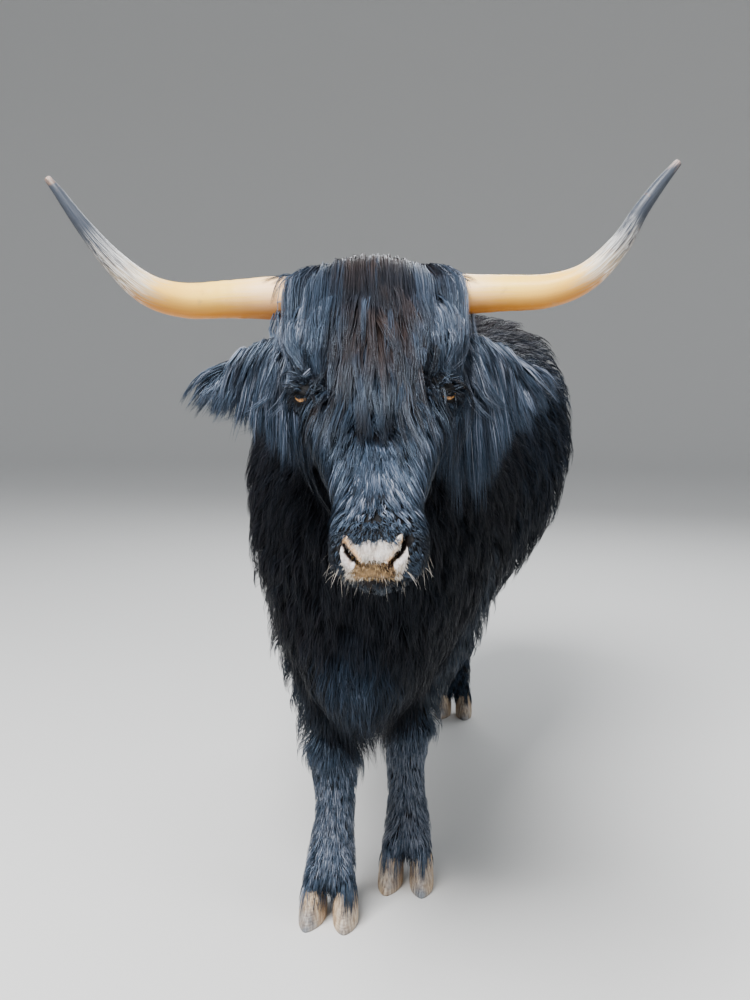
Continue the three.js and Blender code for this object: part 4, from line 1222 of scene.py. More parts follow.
def grow_coat(ground, vertex_uv, glossy, dull):
    """Adds the pieces of the coat, each of strands in the same number of pieces."""
    places, near = ground.roots()
    line, out, region = grow_locks(ground, places, near)
    for piece, names in COAT_PIECES.items():
        for pieces in sorted(set(PIECES[R[n]] for n in names)):
            chosen = np.isin(region, [R[n] for n in names]) & (PIECES[region] == pieces)
            if not chosen.any():
                continue
            path, outward, near, lock = strands_of(
                ground, line[chosen], out[chosen], region[chosen], pieces)
            clear = clear_of_eyes(path)
            path, outward, near, lock = (v[clear] for v in (path, outward, near, lock))
            kind = region[chosen][lock]
            count = len(path)
            width = WIDTH[kind] * rng.uniform(0.7, 1.25, count)
            points, normals = ribbon_arrays(path, outward, width, rng.normal(0, 0.55, count))
            strand = strand_facts(ground, near, kind, lock, chosen.sum())
            skin_uv = vertex_uv[near] + rng.uniform(-0.5, 0.5, (count, 2)) * BAKE_PATCH
            chunks = math.ceil(count * (2 * pieces - 1) / MOST_TRIANGLES)
            order = np.argsort(ground.points[near, 1], kind="stable")
            for k, part in enumerate(np.array_split(order, chunks)):
                name = f"coat_{piece}_{pieces}_{k + 1}"
                mesh = coat_mesh(name, points[part], normals[part], skin_uv[part], strand[part])
                add_piece(name, mesh, dull if piece in DULL else glossy, "coat")


# How much painted sheen, the sky's reflection painted into the colour, the hair of each part
# carries, from black to steel grey.
PAINTED_SHEEN = {
    "head": 0.66, "jaw": 0.08, "muzzle": 0.62, "forelock": 0.92, "neck": 0.05, "chest": 0.04,
    "barrel": 0.16, "rump": 0.24, "udder": 0.03, "tail_dock": 0.12, "fore_upper": 0.80,
    "hind_upper": 0.12, "fore_lower": 0.82, "hind_lower": 0.30, "ear": 0.66, "tail_core": 0.20,
}
# Painted sheen: a curl on the brisket carries more of it and shows paler.
BRISKET = (0.0, 0.54)  # x and z of a paler curl on it, from the layout's origin


def painted_sheen_of(ground, near, brown):
    """How much painted sheen the hair that grows here carries."""
    region, normals = ground.region[near], ground.normals[near]
    painted_sheen = np.array([PAINTED_SHEEN[r] for r in REGIONS])[region]
    x, y, z = ground.place[near].T
    fx, _, fz = ground.face[near].T
    # Painted sheen: the trunk carries more where it faces up, and the face where it faces forwards.
    trunk = np.isin(region, [R[name] for name in ("neck", "chest", "barrel", "rump")])
    upward = 0.35 + 0.65 * smooth(-0.2, 0.7, normals[:, 2])
    aside = np.abs(normals @ unit(np.array(FACE_FRAME)[:3, 0]))
    front = 0.12 + 0.88 * smooth(0.88, 0.45, aside)
    face = np.isin(region, [R["head"], R["muzzle"]])
    painted_sheen = painted_sheen * np.where(trunk, upward, np.where(face, front, 1.0))
    # The sides of the forelock carry more painted sheen than its middle, and its top more than its
    # lower part.
    sides = 0.46 + 0.54 * smooth(35, 92, np.abs(fx - FACE_MIDDLE))
    sides = sides * (0.55 + 0.45 * smooth(20, 150, fz))
    painted_sheen = painted_sheen * np.where(region == R["forelock"], sides, 1.0)
    # On the forelegs the painted sheen gives way to painted shade towards the body and fades near
    # the claws; the cow's left foreleg carries more of it.
    leg = np.isin(region, [R["fore_upper"], R["fore_lower"]])
    bright = np.where(x > FORE_MIDDLE, 1.30, 1.0)
    painted_sheen = painted_sheen * np.where(leg, (0.08 + 0.92 * smooth(0.44, 0.22, z)) * bright, 1.0)
    painted_sheen = painted_sheen * np.where(leg, 0.45 + 0.55 * smooth(0.085, 0.120, z), 1.0)
    # The band above the pad of the muzzle carries less painted sheen and shows dark, and so does
    # the lower part of the forelock.
    painted_sheen = painted_sheen * np.where(face, 0.40 + 0.60 * smooth(-272, -240, fz), 1.0)
    painted_sheen = painted_sheen * np.where(region == R["forelock"], 0.62 + 0.38 * smooth(0, 110, fz), 1.0)
    # Less painted sheen down the middle of the bridge of the nose.
    bridge = smooth(-165, -110, fz) * smooth(60, 25, np.abs(fx - FACE_MIDDLE))
    painted_sheen = painted_sheen * np.where(face, 1 - 0.40 * bridge, 1.0)
    # Round the eyes the painted sheen gives way to painted shade.
    for sign in (1, -1):
        from_eye = np.linalg.norm(ground.points[near] - eye_axes(sign)[0], axis=1)
        painted_sheen = painted_sheen * (0.25 + 0.75 * smooth(0.028, 0.060, from_eye))
    curl = ((x - BRISKET[0]) / 0.05) ** 2 + ((z - BRISKET[1]) / 0.06) ** 2
    painted_sheen = painted_sheen + 0.35 * np.exp(-curl) * trunk * (y < 0)
    return painted_sheen * (1 - 0.88 * brown)


def brownness(ground, near):
    """How much brown there is in the black hair that grows here."""
    z = ground.place[near][:, 2]
    fx, _, fz = ground.face[near].T
    kind = ground.region[near]
    back = 0.55 * smooth(1.02, 1.16, z) * (kind != R["forelock"])
    crown = smooth(85, 30, np.abs(fx)) * smooth(20, 120, fz) * (kind == R["forelock"])
    tips = 0.02 * (kind == R["ear"])
    return np.clip(0.08 + back + 0.85 * crown + tips, 0, 1)


def vertex_uvs(mesh):
    """For each point of a mesh, its place on the unwrap."""
    corners = read(mesh.loops, "vertex_index", 1, np.int32).ravel()
    found = np.zeros((len(mesh.vertices), 2))
    found[corners] = read(mesh.uv_layers["OFBake"].data, "uv", 2, np.float32)
    return found


def unwrap(piece):
    """Lays the surface of a piece out flat, on a map named OFBake."""
    piece.data.uv_layers.new(name="OFBake")
    bpy.context.view_layer.objects.active = piece
    piece.select_set(True)
    bpy.ops.object.mode_set(mode="EDIT")
    bpy.ops.mesh.select_all(action="SELECT")
    bpy.ops.uv.smart_project(angle_limit=math.radians(70), island_margin=0.001)
    bpy.ops.object.mode_set(mode="OBJECT")
    piece.select_set(False)


# ---- materials ----
def new_material(name, **values):
    """A material and its shader, with sockets named in words set to values."""
    material = bpy.data.materials.new(name)
    material.use_nodes = True
    shader = material.node_tree.nodes["Principled BSDF"]
    for socket, value in values.items():
        shader.inputs[socket.replace("_", " ")].default_value = value
    return material, shader


def node(material, kind, inputs=(), **settings):
    """A node with its settings. Each input is a value or the output of another node."""
    made = material.node_tree.nodes.new(kind)
    for name, value in settings.items():
        setattr(made, name, value)
    for socket, value in dict(inputs).items():
        if isinstance(value, bpy.types.NodeSocket):
            material.node_tree.links.new(value, made.inputs[socket])
        else:
            made.inputs[socket].default_value = value
    return made


def fact(material, name):
    """What a mesh knows at each point under this name, as a vector and as a number."""
    found = node(material, "ShaderNodeAttribute", attribute_name=name)
    return found.outputs["Vector"], found.outputs["Fac"]


def noise(material, vector, scale, detail=3.0, roughness=0.55):
    made = node(material, "ShaderNodeTexNoise",
                {"Vector": vector, "Scale": scale, "Detail": detail, "Roughness": roughness})
    return made.outputs["Fac"]


def stretched(material, vector, scales):
    return node(material, "ShaderNodeMapping", {"Vector": vector, "Scale": scales}).outputs[0]


def place_of(material):
    return node(material, "ShaderNodeTexCoord").outputs["Object"]


def ramp(material, value, *stops):
    """Colours, or greys, through stops of a place from 0 to 1 and a colour."""
    made = node(material, "ShaderNodeValToRGB", {"Fac": value})
    points = made.color_ramp.elements
    while len(points) < len(stops):
        points.new(0.5)
    for point, (at, colour) in zip(points, stops):
        point.position = at
        point.color = (*colour, 1) if isinstance(colour, tuple) else (colour, colour, colour, 1)
    return made.outputs["Color"]


def mixed(material, share, a, b, blend="MIX"):
    made = node(material, "ShaderNodeMix", data_type="RGBA", blend_type=blend)
    for socket, value in ((0, share), (6, a), (7, b)):
        if isinstance(value, bpy.types.NodeSocket):
            material.node_tree.links.new(value, made.inputs[socket])
        else:
            made.inputs[socket].default_value = (*value, 1) if isinstance(value, tuple) else value
    return made.outputs[2]


def sums(material, operation, a, b, *, clamp=False):
    made = node(material, "ShaderNodeMath", {0: a, 1: b}, operation=operation, use_clamp=clamp)
    return made.outputs[0]


def times(material, a, b):
    return sums(material, "MULTIPLY", a, b)


def bumped(material, height, distance, strength=1.0, before=None):
    inputs = {"Height": height, "Distance": distance, "Strength": strength}
    if before:
        inputs["Normal"] = before
    return node(material, "ShaderNodeBump", inputs).outputs["Normal"]


def wire(material, shader, **outputs):
    for socket, output in outputs.items():
        material.node_tree.links.new(output, shader.inputs[socket.replace("_", " ")])
    return material


def parts_of(material, name):
    """The three parts of what a mesh knows at each point under this name."""
    return node(material, "ShaderNodeSeparateXYZ", {0: fact(material, name)[0]}).outputs


def hair_material(name, specular):
    material, shader = new_material(
        name, Specular_IOR_Level=specular, Specular_Tint=(0.66, 0.82, 1.0, 1))
    strand, grain = parts_of(material, "strand"), parts_of(material, "grain")
    shade, brown, painted_sheen = strand["X"], strand["Y"], strand["Z"]
    along = grain["Y"]
    streak = noise(material, stretched(material, fact(material, "grain")[0], (3.2, 1.6, 1.0)),
                   1.6, 2.0)
    patches = noise(material, place_of(material), 11.0, 2.0)
    tips = times(material, along, times(material, shade, 0.22))
    share = times(material, brown, ramp(material, patches, (0.35, 0.25), (0.65, 1.0)))
    share = times(material, share, ramp(material, along, (0.50, 1.0), (1.0, 0.30)))
    share = sums(material, "ADD", share, tips, clamp=True)
    black = mixed(material, shade, (0.0018, 0.0022, 0.0034), (0.0055, 0.0070, 0.0105))
    rust = mixed(material, shade, (0.014, 0.009, 0.007), (0.064, 0.038, 0.028))
    # Painted sheen is strongest along a strand's middle and fades towards its root, which is left
    # dark as painted shade.
    painted_sheen_along = ramp(material, along, (0.0, 0.12), (0.22, 0.75), (0.50, 1.0), (1.0, 0.40))
    light = times(material, painted_sheen, painted_sheen_along)
    brightness = sums(material, "ADD", 0.30, times(material, 1.3, shade))
    light = times(material, light, brightness)
    # The colour of the painted sheen, the sky's steel blue, by how much of it a strand carries.
    painted_sheen_colour = ramp(material, light, (0.0, (0.0, 0.0, 0.0)), (0.20, (0.013, 0.027, 0.048)),
                (0.46, (0.052, 0.080, 0.124)), (0.78, (0.16, 0.19, 0.255)),
                (1.0, (0.30, 0.33, 0.40)))
    colour = mixed(material, 1.0, black, painted_sheen_colour, "ADD")
    colour = mixed(material, share, colour, rust)
    colour = mixed(material, 0.6, colour, ramp(material, streak, (0.3, 0.30), (0.7, 1.0)),
                   "MULTIPLY")
    rough = ramp(material, streak, (0.3, 0.42), (0.75, 0.30))
    return wire(material, shader, Base_Color=colour, Roughness=rough,
                Normal=bumped(material, streak, 0.0006, 0.5))


def skin_material():
    material, shader = new_material("skin", Specular_IOR_Level=0.08)
    place = place_of(material)
    pad, soil, tan = (fact(material, name)[1] for name in ("pad", "soil", "tan"))
    mottle = noise(material, place, 95.0, 4.0)
    blotch = noise(material, place, 38.0, 3.0)
    pale = mixed(material, ramp(material, mottle, (0.36, 0.0), (0.60, 1.0)),
                 (0.50, 0.40, 0.36), (0.80, 0.78, 0.77))
    dirt = mixed(material, ramp(material, mottle, (0.42, 0.0), (0.66, 1.0)),
                 (0.024, 0.013, 0.007), (0.30, 0.195, 0.100))
    ragged = times(material, sums(material, "SUBTRACT", blotch, 0.5), 1.2)
    edge = sums(material, "ADD", soil, ragged)
    muzzle = mixed(material, ramp(material, edge, (0.42, 0.0), (0.60, 1.0)), pale, dirt)
    muzzle = mixed(material, tan, muzzle, (0.56, 0.35, 0.19))
    # Painted shade: the outer wings of the nostrils are painted grey.
    muzzle = mixed(material, fact(material, "wing")[1], muzzle, (0.26, 0.24, 0.245))
    fur = mixed(material, mottle, (0.0025, 0.0024, 0.0026), (0.0075, 0.0070, 0.0072))
    border = sums(material, "ADD", pad, times(material, mottle, 0.4))
    bare = ramp(material, border, (0.62, 0.0), (0.74, 1.0))
    colour = mixed(material, bare, fur, muzzle)
    # Painted shade: the slits of the nostrils and the parting of the lips are painted near black.
    colour = mixed(material, fact(material, "painted_hollow_shade")[1], colour, (0.006, 0.004, 0.004))
    pebbles = node(material, "ShaderNodeTexVoronoi", {"Vector": place, "Scale": 330.0})
    rough = mixed(material, bare, (0.62, 0.62, 0.62), (0.40, 0.40, 0.40))
    lumps = bumped(material, times(material, pebbles.outputs["Distance"], pad),
                   0.0011, 0.55)
    hairs = noise(material, stretched(material, place, (900.0, 900.0, 160.0)), 1.0, 2.0)
    return wire(material, shader, Base_Color=colour, Roughness=rough,
                Normal=bumped(material, hairs, 0.0008, 0.4, lumps))


def horn_material():
    material, shader = new_material("horn", Specular_IOR_Level=0.16, Coat_Weight=0.06,
                                    Coat_Roughness=0.14, Subsurface_Weight=0.02,
                                    Subsurface_Radius=(0.012, 0.007, 0.004))
    facts = parts_of(material, "horn")
    along, above, round_it = facts["X"], facts["Y"], facts["Z"]
    place = node(material, "ShaderNodeCombineXYZ", {0: along, 1: above, 2: round_it}).outputs[0]
    streaks = noise(material, stretched(material, place, (2.4, 7.0, 7.0)), 2.0, 4.0, 0.6)
    fine = noise(material, stretched(material, place, (5.0, 26.0, 26.0)), 2.2, 3.0, 0.6)
    blotches = noise(material, place_of(material), 34.0, 4.0, 0.6)
    wander = times(material, sums(material, "SUBTRACT", streaks, 0.5), 0.30)
    at = sums(material, "ADD", along, wander, clamp=True)
    top = ramp(material, at, (0.00, (0.95, 0.56, 0.31)), (0.14, (1.0, 0.66, 0.34)),
               (0.28, (1.0, 0.63, 0.11)), (0.44, (0.95, 0.55, 0.09)),
               (0.53, (0.74, 0.55, 0.30)), (0.61, (0.34, 0.33, 0.32)),
               (0.69, (0.030, 0.037, 0.052)), (0.955, (0.034, 0.041, 0.056)),
               (0.985, (0.46, 0.33, 0.28)))
    # The underside is darker and browner than the top: partly the horn's own browner edge, partly
    # painted shade.
    below = ramp(material, at, (0.00, (0.42, 0.15, 0.04)), (0.30, (0.58, 0.22, 0.02)),
                 (0.48, (0.46, 0.18, 0.02)), (0.58, (0.30, 0.22, 0.13)),
                 (0.69, (0.025, 0.030, 0.042)), (0.97, (0.035, 0.042, 0.055)))
    side = ramp(material, above, (0.10, 0.0), (0.62, 1.0))
    colour = mixed(material, side, below, top)
    pale = ramp(material, fine, (0.49, 0.0), (0.60, 1.0))
    bend = ramp(material, along, (0.48, 0.0), (0.55, 0.90), (0.66, 0.60), (0.74, 0.07),
                (0.92, 0.03))
    colour = mixed(material, times(material, pale, bend), colour, (0.78, 0.77, 0.74))
    gaps = ramp(material, along, (0.50, 0.0), (0.60, 1.0))
    dark = times(material, ramp(material, fine, (0.36, 1.0), (0.46, 0.0)), gaps)
    colour = mixed(material, dark, colour, (0.035, 0.040, 0.052))
    spots = ramp(material, blotches, (0.62, 0.0), (0.72, 0.35))
    colour = mixed(material, spots, colour, (0.42, 0.24, 0.12))
    return wire(material, shader, Base_Color=colour,
                Roughness=ramp(material, streaks, (0.3, 0.42), (0.7, 0.27)),
                Normal=bumped(material, fine, 0.0007, 0.35,
                              bumped(material, blotches, 0.0012, 0.3)))


def hoof_material():
    material, shader = new_material("hoof", Specular_IOR_Level=0.4)
    facts = parts_of(material, "hoof")
    height, front = facts["X"], facts["Y"]
    place = place_of(material)
    streaks = noise(material, stretched(material, place, (190.0, 190.0, 22.0)), 1.0, 4.0, 0.6)
    blotches = noise(material, place, 42.0, 3.0, 0.6)
    each = noise(material, place, 7.0, 1.0)
    tan = ramp(material, streaks, (0.30, (0.10, 0.060, 0.034)), (0.46, (0.42, 0.29, 0.175)),
               (0.66, (0.72, 0.56, 0.38)))
    slate = ramp(material, streaks, (0.3, (0.045, 0.052, 0.066)), (0.7, (0.27, 0.29, 0.31)))
    low = times(material, ramp(material, height, (0.10, 1.0), (0.95, 0.45)), front)
    low = times(material, low, ramp(material, each, (0.42, 0.20), (0.56, 1.0)))
    share = sums(material, "ADD", low, sums(material, "SUBTRACT", blotches, 0.55), clamp=True)
    colour = mixed(material, share, tan, slate)
    rings = node(material, "ShaderNodeTexWave",
                 {"Vector": stretched(material, place, (1, 1, 115.0)), "Scale": 0.5,
                  "Distortion": 3.0, "Detail": 2.0}, bands_direction="Z").outputs["Fac"]
    return wire(material, shader, Base_Color=colour,
                Roughness=ramp(material, blotches, (0.35, 0.62), (0.65, 0.40)),
                Normal=bumped(material, rings, 0.0010, 0.5,
                              bumped(material, streaks, 0.0008, 0.6)))


def eye_material():
    material, shader = new_material("eye", Roughness=0.10, Specular_IOR_Level=0.4,
                                    Coat_Weight=0.25, Coat_Roughness=0.03)
    facts = parts_of(material, "eye")
    off_centre, round_it, pupil = facts["X"], facts["Y"], facts["Z"]
    fibres = node(material, "ShaderNodeCombineXYZ", {0: round_it, 1: off_centre}).outputs[0]
    threads = noise(material, stretched(material, fibres, (26.0, 1.2, 1.0)), 2.0, 3.0)
    iris = ramp(material, off_centre, (0.10, (0.10, 0.035, 0.010)), (0.24, (0.52, 0.23, 0.055)),
                (0.50, (0.80, 0.44, 0.13)), (0.66, (0.30, 0.12, 0.035)),
                (0.72, (0.020, 0.012, 0.009)), (0.86, (0.10, 0.070, 0.055)),
                (1.0, (0.36, 0.27, 0.23)))
    iris = mixed(material, 0.65, iris, ramp(material, threads, (0.3, 0.35), (0.7, 1.0)),
                 "MULTIPLY")
    black = ramp(material, pupil, (0.46, 1.0), (0.54, 0.0))
    return wire(material, shader, Base_Color=mixed(material, black, iris, (0.003, 0.004, 0.006)))


def whisker_material(name, root, dark, light):
    material, shader = new_material(name, Roughness=0.35, Specular_IOR_Level=0.6)
    along, shade = parts_of(material, "grain")["Y"], parts_of(material, "strand")["X"]
    tip = mixed(material, shade, dark, light)
    return wire(material, shader, Base_Color=mixed(material, along, root, tip))


# ---- horns ----
HORN_RINGS, HORN_SIDES = 150, 36
HORN_START = {"left": 0.055, "right": 0.075}  # its root, inside the hair
RING_DEPTH, FLUTE_DEPTH = 0.009, 0.010  # as shares of its girth


def add_horn(side, material):
    t = np.linspace(HORN_START[side], 1, HORN_RINGS)
    line, girth = horn_line(side, t)
    # Rounded tip, and faint growth rings that fade outwards from the base.
    tip = np.clip((t - 0.985) / 0.015, 0, 1)
    girth *= np.sqrt(np.maximum(1 - tip**2, 0.02))
    girth *= 1 + RING_DEPTH * np.sin(t * 105 + 3 * np.sin(t * 23)) * smooth(0.62, 0.05, t)
    points, faces = tube(line, girth, HORN_SIDES, (0, 0, 1))
    # Shallow flutes run along the horn, deepest at the bend.
    around = np.tile(np.linspace(0, 2 * math.pi, HORN_SIDES, endpoint=False), HORN_RINGS)
    centre = np.repeat(line, HORN_SIDES, axis=0)
    at = np.repeat(t, HORN_SIDES)
    flute = np.sin(around * 5 + 2.4 * np.sin(at * 5)) + 0.6 * np.sin(around * 9 - at * 7)
    points[:-2] += (points[:-2] - centre) * (FLUTE_DEPTH * flute * smooth(0.02, 0.45, at)
                                             * smooth(1.0, 0.7, at))[:, None]
    mesh = build_mesh(f"horn_{side}_sheath", placed(HEAD_FRAME, points), faces)
    facts = np.zeros((len(points), 3), np.float32)
    facts[:-2, 0] = at
    facts[:-2, 1] = 0.5 + 0.5 * (points[:-2, 2] - centre[:, 2]) / np.repeat(girth, HORN_SIDES)
    facts[:-2, 2] = 0.5 + 0.5 * (points[:-2, 1] - centre[:, 1]) / np.repeat(girth, HORN_SIDES)
    facts[-2:] = ((0, 0.5, 0.5), (1, 0.5, 0.5))
    note(mesh, "horn", facts)
    add_piece(f"horn_{side}_sheath", mesh, material, "horn", f"horn_{side}")


# ---- eyes ----
IRIS = math.radians(47)  # half the angle that the iris spans
CORNEA = 0.0011  # how far it bulges over the iris
PUPIL = (0.60, 0.24)  # its half length and half height, as shares of the iris


def add_eye(side, material):
    sign = SIGN[side]
    middle, gaze, across, up = eye_axes(sign)
    rings, sides = 48, 64
    polar = math.pi * np.arange(1, rings) / rings
    around = 2 * math.pi * np.arange(sides) / sides
    polar, around = (v.ravel() for v in np.meshgrid(polar, around, indexing="ij"))
    polar = np.concatenate([polar, [0, math.pi]])
    around = np.concatenate([around, [0, 0]])
    radius = EYE_RADIUS - 0.0003 + CORNEA * smooth(1.05, 0.35, polar / IRIS)
    flat = np.sin(polar)
    points = middle + radius[:, None] * (
        gaze * np.cos(polar)[:, None]
        + across * (flat * np.cos(around))[:, None]
        + up * (flat * np.sin(around))[:, None])
    faces = ring_faces(rings - 1, sides)
    if sign < 0:
        faces = [f[:, ::-1] for f in faces]
    mesh = build_mesh(f"eyeball_{side}", points, faces)
    long, high = PUPIL
    facts = np.stack([
        np.clip(polar / IRIS * 0.72, 0, 1),
        around / (2 * math.pi),
        np.hypot(polar * np.cos(around) / (IRIS * long),
                 (polar * np.sin(around) / IRIS - 0.08) / high) / 2,
    ], -1)
    note(mesh, "eye", facts)
    add_piece(f"eyeball_{side}", mesh, material, "eye", f"eye_{side}")


# ---- hooves ----
def add_hoof(node_name, material):
    """One claw: flat below, pointed in front, its wall leaning back and ringed."""
    low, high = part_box(node_name)
    at = (low + high) / 2
    side = claw_side(node_name)
    half_length, half_width = CLAW_HALF
    sides, rings = 40, 26
    z = np.linspace(0, 1, rings)
    length = half_length * through(CLAW_LENGTHS, z)
    width = half_width * through(CLAW_WIDTHS, z)
    back = CLAW_LEAN * z
    rim = 1 - 0.05 * smooth(0.06, 0.0, z)
    ringed = 1 + WALL_RING * np.sin(z * 58 + 1.5 * np.sin(z * 9))
    angle = np.linspace(0, 2 * math.pi, sides, endpoint=False)
    front = np.maximum(0, -np.sin(angle))
    inner = np.maximum(0, -np.cos(angle) * side)
    x = np.cos(angle) * (1 - CLAW_POINT * front**2) * (1 - 0.16 * inner)
    toe = 1 + 0.05 * front**6
    px = x[None] * (width * rim * ringed)[:, None]
    py = (np.sin(angle) * toe)[None] * (length * rim * ringed)[:, None] + back[:, None]
    pz = np.broadcast_to((z * CORONET_HEIGHT)[:, None], px.shape)
    ring_points = np.stack([px, py, pz], -1).reshape(-1, 3)
    points = np.concatenate([ring_points, [(0, 0, 0), (0, CLAW_LEAN, CORONET_HEIGHT + 0.004)]])
    # Where the middle of the claw's box lies from its own origin, once it is splayed.
    frame_of = Matrix.Rotation(side * CLAW_SPLAY, 4, "Z")
    turned_points = placed(frame_of, points)
    box_middle = (turned_points.min(0) + turned_points.max(0)) / 2
    turned_points[:, :2] += np.array(at)[:2] - box_middle[:2]
    mesh = build_mesh(f"{node_name}_horn", turned_points, ring_faces(rings, sides))
    facts = np.zeros((len(points), 3), np.float32)
    facts[:, 0] = points[:, 2] / CORONET_HEIGHT
    facts[:-2, 1] = np.tile(front, rings)
    note(mesh, "hoof", facts)
    add_piece(f"{node_name}_horn", mesh, material, "hoof", node_name)


# ---- the skin's own piece ----
def add_skin(mesh, material):
    piece = add_piece("skin", mesh, material, "coat", *FLESH, "ear_left", "ear_right",
                      "tail_switch")
    unwrap(piece)
    points = points_of(mesh)
    face = within(FACE_FRAME, points)
    pad = pad_share(face)
    mouth = from_mouth(face)
    holes, rolls = from_holes(face), from_rolls(face)
    across = np.abs(face[:, 0] - FACE_MIDDLE)
    facts = {
        "pad": pad,
        "soil": smooth(-37, -27, mouth) * smooth(9, -5, across - 18 - 17 * smooth(-30, -8, mouth)),
        "tan": smooth(7.5, 4.5, rolls) * (mouth < 0) * pad,
        # Where painted shade greys the outer wings of the nostrils.
        "wing": 0.55 * smooth(1.5, 6, holes) * smooth(30, 38, across) * smooth(10, 14, rolls),
        # Where painted shade darkens the slits of the nostrils and the parting of the lips.
        "painted_hollow_shade": np.maximum(smooth(2.9, 1.9, holes) * (face[:, 2] < -262),
                             smooth(-6, -1, mouth) * (face[:, 2] < -190)),
    }
    for name, values in facts.items():
        mesh.attributes.new(name, "FLOAT", "POINT").data.foreach_set(
            "value", values.astype(np.float32))
    return piece


# ---- whiskers, lashes and the down of the muzzle ----
RIM_HAIRS, CORNER_HAIRS, CHIN_HAIRS = 70, 40, 12
DOWN_HAIRS, SOILED_HAIRS = 3200, 700
LASHES = 70  # to each eye


def add_whiskers(ground, uv, pale, golden, dark):
    """Pale bristles on the lips and chin, down on the pad, and dark lashes on the upper lids."""
    face, bare = ground.face, ground.bare
    mouth = from_mouth(face)
    x = np.abs(face[:, 0] - FACE_MIDDLE)

    def some(chosen, count):
        found = np.nonzero(chosen)[0]
        return rng.choice(found, min(count, len(found)), replace=False)

    rim = some((bare > 0.2) & (mouth > -11) & (mouth < -1), RIM_HAIRS)
    corners = some((np.abs(mouth + 4) < 16) & (x > 36) & (face[:, 2] < -258) & (bare < 0.6),
                   CORNER_HAIRS)
    chin = some((mouth > 4) & (mouth < 30) & (face[:, 2] < -250), CHIN_HAIRS)
    spots = np.concatenate([rim, corners, chin])
    long = np.concatenate([rng.uniform(0.003, 0.009, len(rim)),
                           rng.uniform(0.008, 0.026, len(corners)),
                           rng.uniform(0.008, 0.020, len(chin))])
    bristles("whiskers", ground, uv, pale, spots, long, 0.00035, 0.4)
    holes, rolls = from_holes(face), from_rolls(face)
    downy = (bare > 0.25) & (holes > 3) & (rolls > 5) & ((mouth < -30) | (x > 26))
    downy &= (x < 33) | (rng.random(len(x)) < 0.45)
    spots = rng.choice(np.nonzero(downy)[0], DOWN_HAIRS)
    bristles("down", ground, uv, pale, spots, rng.uniform(0.002, 0.005, len(spots)), 0.0004,
             0.2, 0.5)
    spots = some((bare > 0.5) & (mouth > -30) & (mouth < -4) & (x < 32), SOILED_HAIRS)
    bristles("soiled_down", ground, uv, golden, spots, rng.uniform(0.002, 0.006, len(spots)),
             0.0004, 0.3, 0.6)
    rows = []
    for sign in (1, -1):
        rim, distance, rise = from_opening(ground.points, sign)
        rows.append(some((np.abs(rim - 2.0) < 1.5) & (distance < 0.024) & (rise > 4), LASHES))
    spots = np.concatenate(rows)
    bristles("lashes", ground, uv, dark, spots, rng.uniform(0.012, 0.021, len(spots)), 0.0007,
             0.25)


def bristles(name, ground, uv, material, spots, long, width, droop, rise=1.1):
    """Single hairs that stand out from the skin by rise, and bend down by droop."""
    t = np.linspace(0, 1, 4 if "down" in name else 7)[None, :, None]
    out = ground.normals[spots][:, None]
    flow = ground.flow[spots][:, None] + rng.normal(0, 0.45, (len(spots), 1, 3))
    heading = unit(out * rise + 0.6 * flow)
    scatter = rng.normal(0, 0.0008, (len(spots), 1, 3))
    path = ground.points[spots][:, None] + scatter + long[:, None, None] * (
        heading * t + HANG * droop * t**2)
    outward = np.broadcast_to(unit(np.cross(heading, (1, 0.2, 0))), path.shape)
    points, normals = ribbon_arrays(path, outward, np.full(len(spots), width),
                                    rng.uniform(-1.5, 1.5, len(spots)))
    strand = np.stack([rng.random(len(spots)), np.zeros(len(spots)), np.zeros(len(spots))], -1)
    mesh = coat_mesh(name, points, normals, uv[spots], strand)
    add_piece(name, mesh, material, "coat")


# ---- wisps of the forelock that lie over the roots of the horns ----
WISP_REACH = {"left": 0.24, "right": 0.16}  # along the horn


def add_wisps(uv, ground, material):
    paths, t = [], np.linspace(0, 1, 8)
    for side in ("left", "right"):
        for _ in range(6):
            start, end = rng.uniform(0.05, 0.08), rng.uniform(0.12, WISP_REACH[side])
            at = start + (end - start) * t
            line, girth = horn_line(side, at)
            ahead = unit(np.gradient(line, axis=0))
            front = unit(np.cross(ahead, (0, 0, 1)) * -SIGN[side])
            above = unit(np.cross(front, ahead) * -SIGN[side])
            above *= np.sign(above[:, 2:])
            front *= -np.sign(front[:, 1:2])
            high, low = rng.uniform(65, 100), rng.uniform(-25, 55)
            angle = np.radians(high + (low - high) * t**1.3)[:, None]
            for _ in range(6):
                lift = 1.03 + rng.uniform(0, 0.10)
                near = angle + rng.normal(0, 0.05) + rng.normal(0, 0.05) * t[:, None]
                ring = np.cos(near) * front + np.sin(near) * above
                paths.append(placed(HEAD_FRAME, line + ring * girth[:, None] * lift))
    paths = np.array(paths)
    outward = np.broadcast_to(unit(np.array([0.0, -0.6, 0.8])), paths.shape)
    count = len(paths)
    points, normals = ribbon_arrays(paths, outward, np.full(count, 0.0009),
                                    rng.uniform(-0.8, 0.8, count))
    near = ground.nearest(paths[:, 0])
    # Each wisp's lightness, a little brown, and its painted sheen.
    strand = np.stack([rng.random(count), np.full(count, 0.1), rng.uniform(0.1, 0.5, count)], -1)
    add_piece("coat_wisps", coat_mesh("coat_wisps", points, normals, uv[near], strand), material,
              "coat")


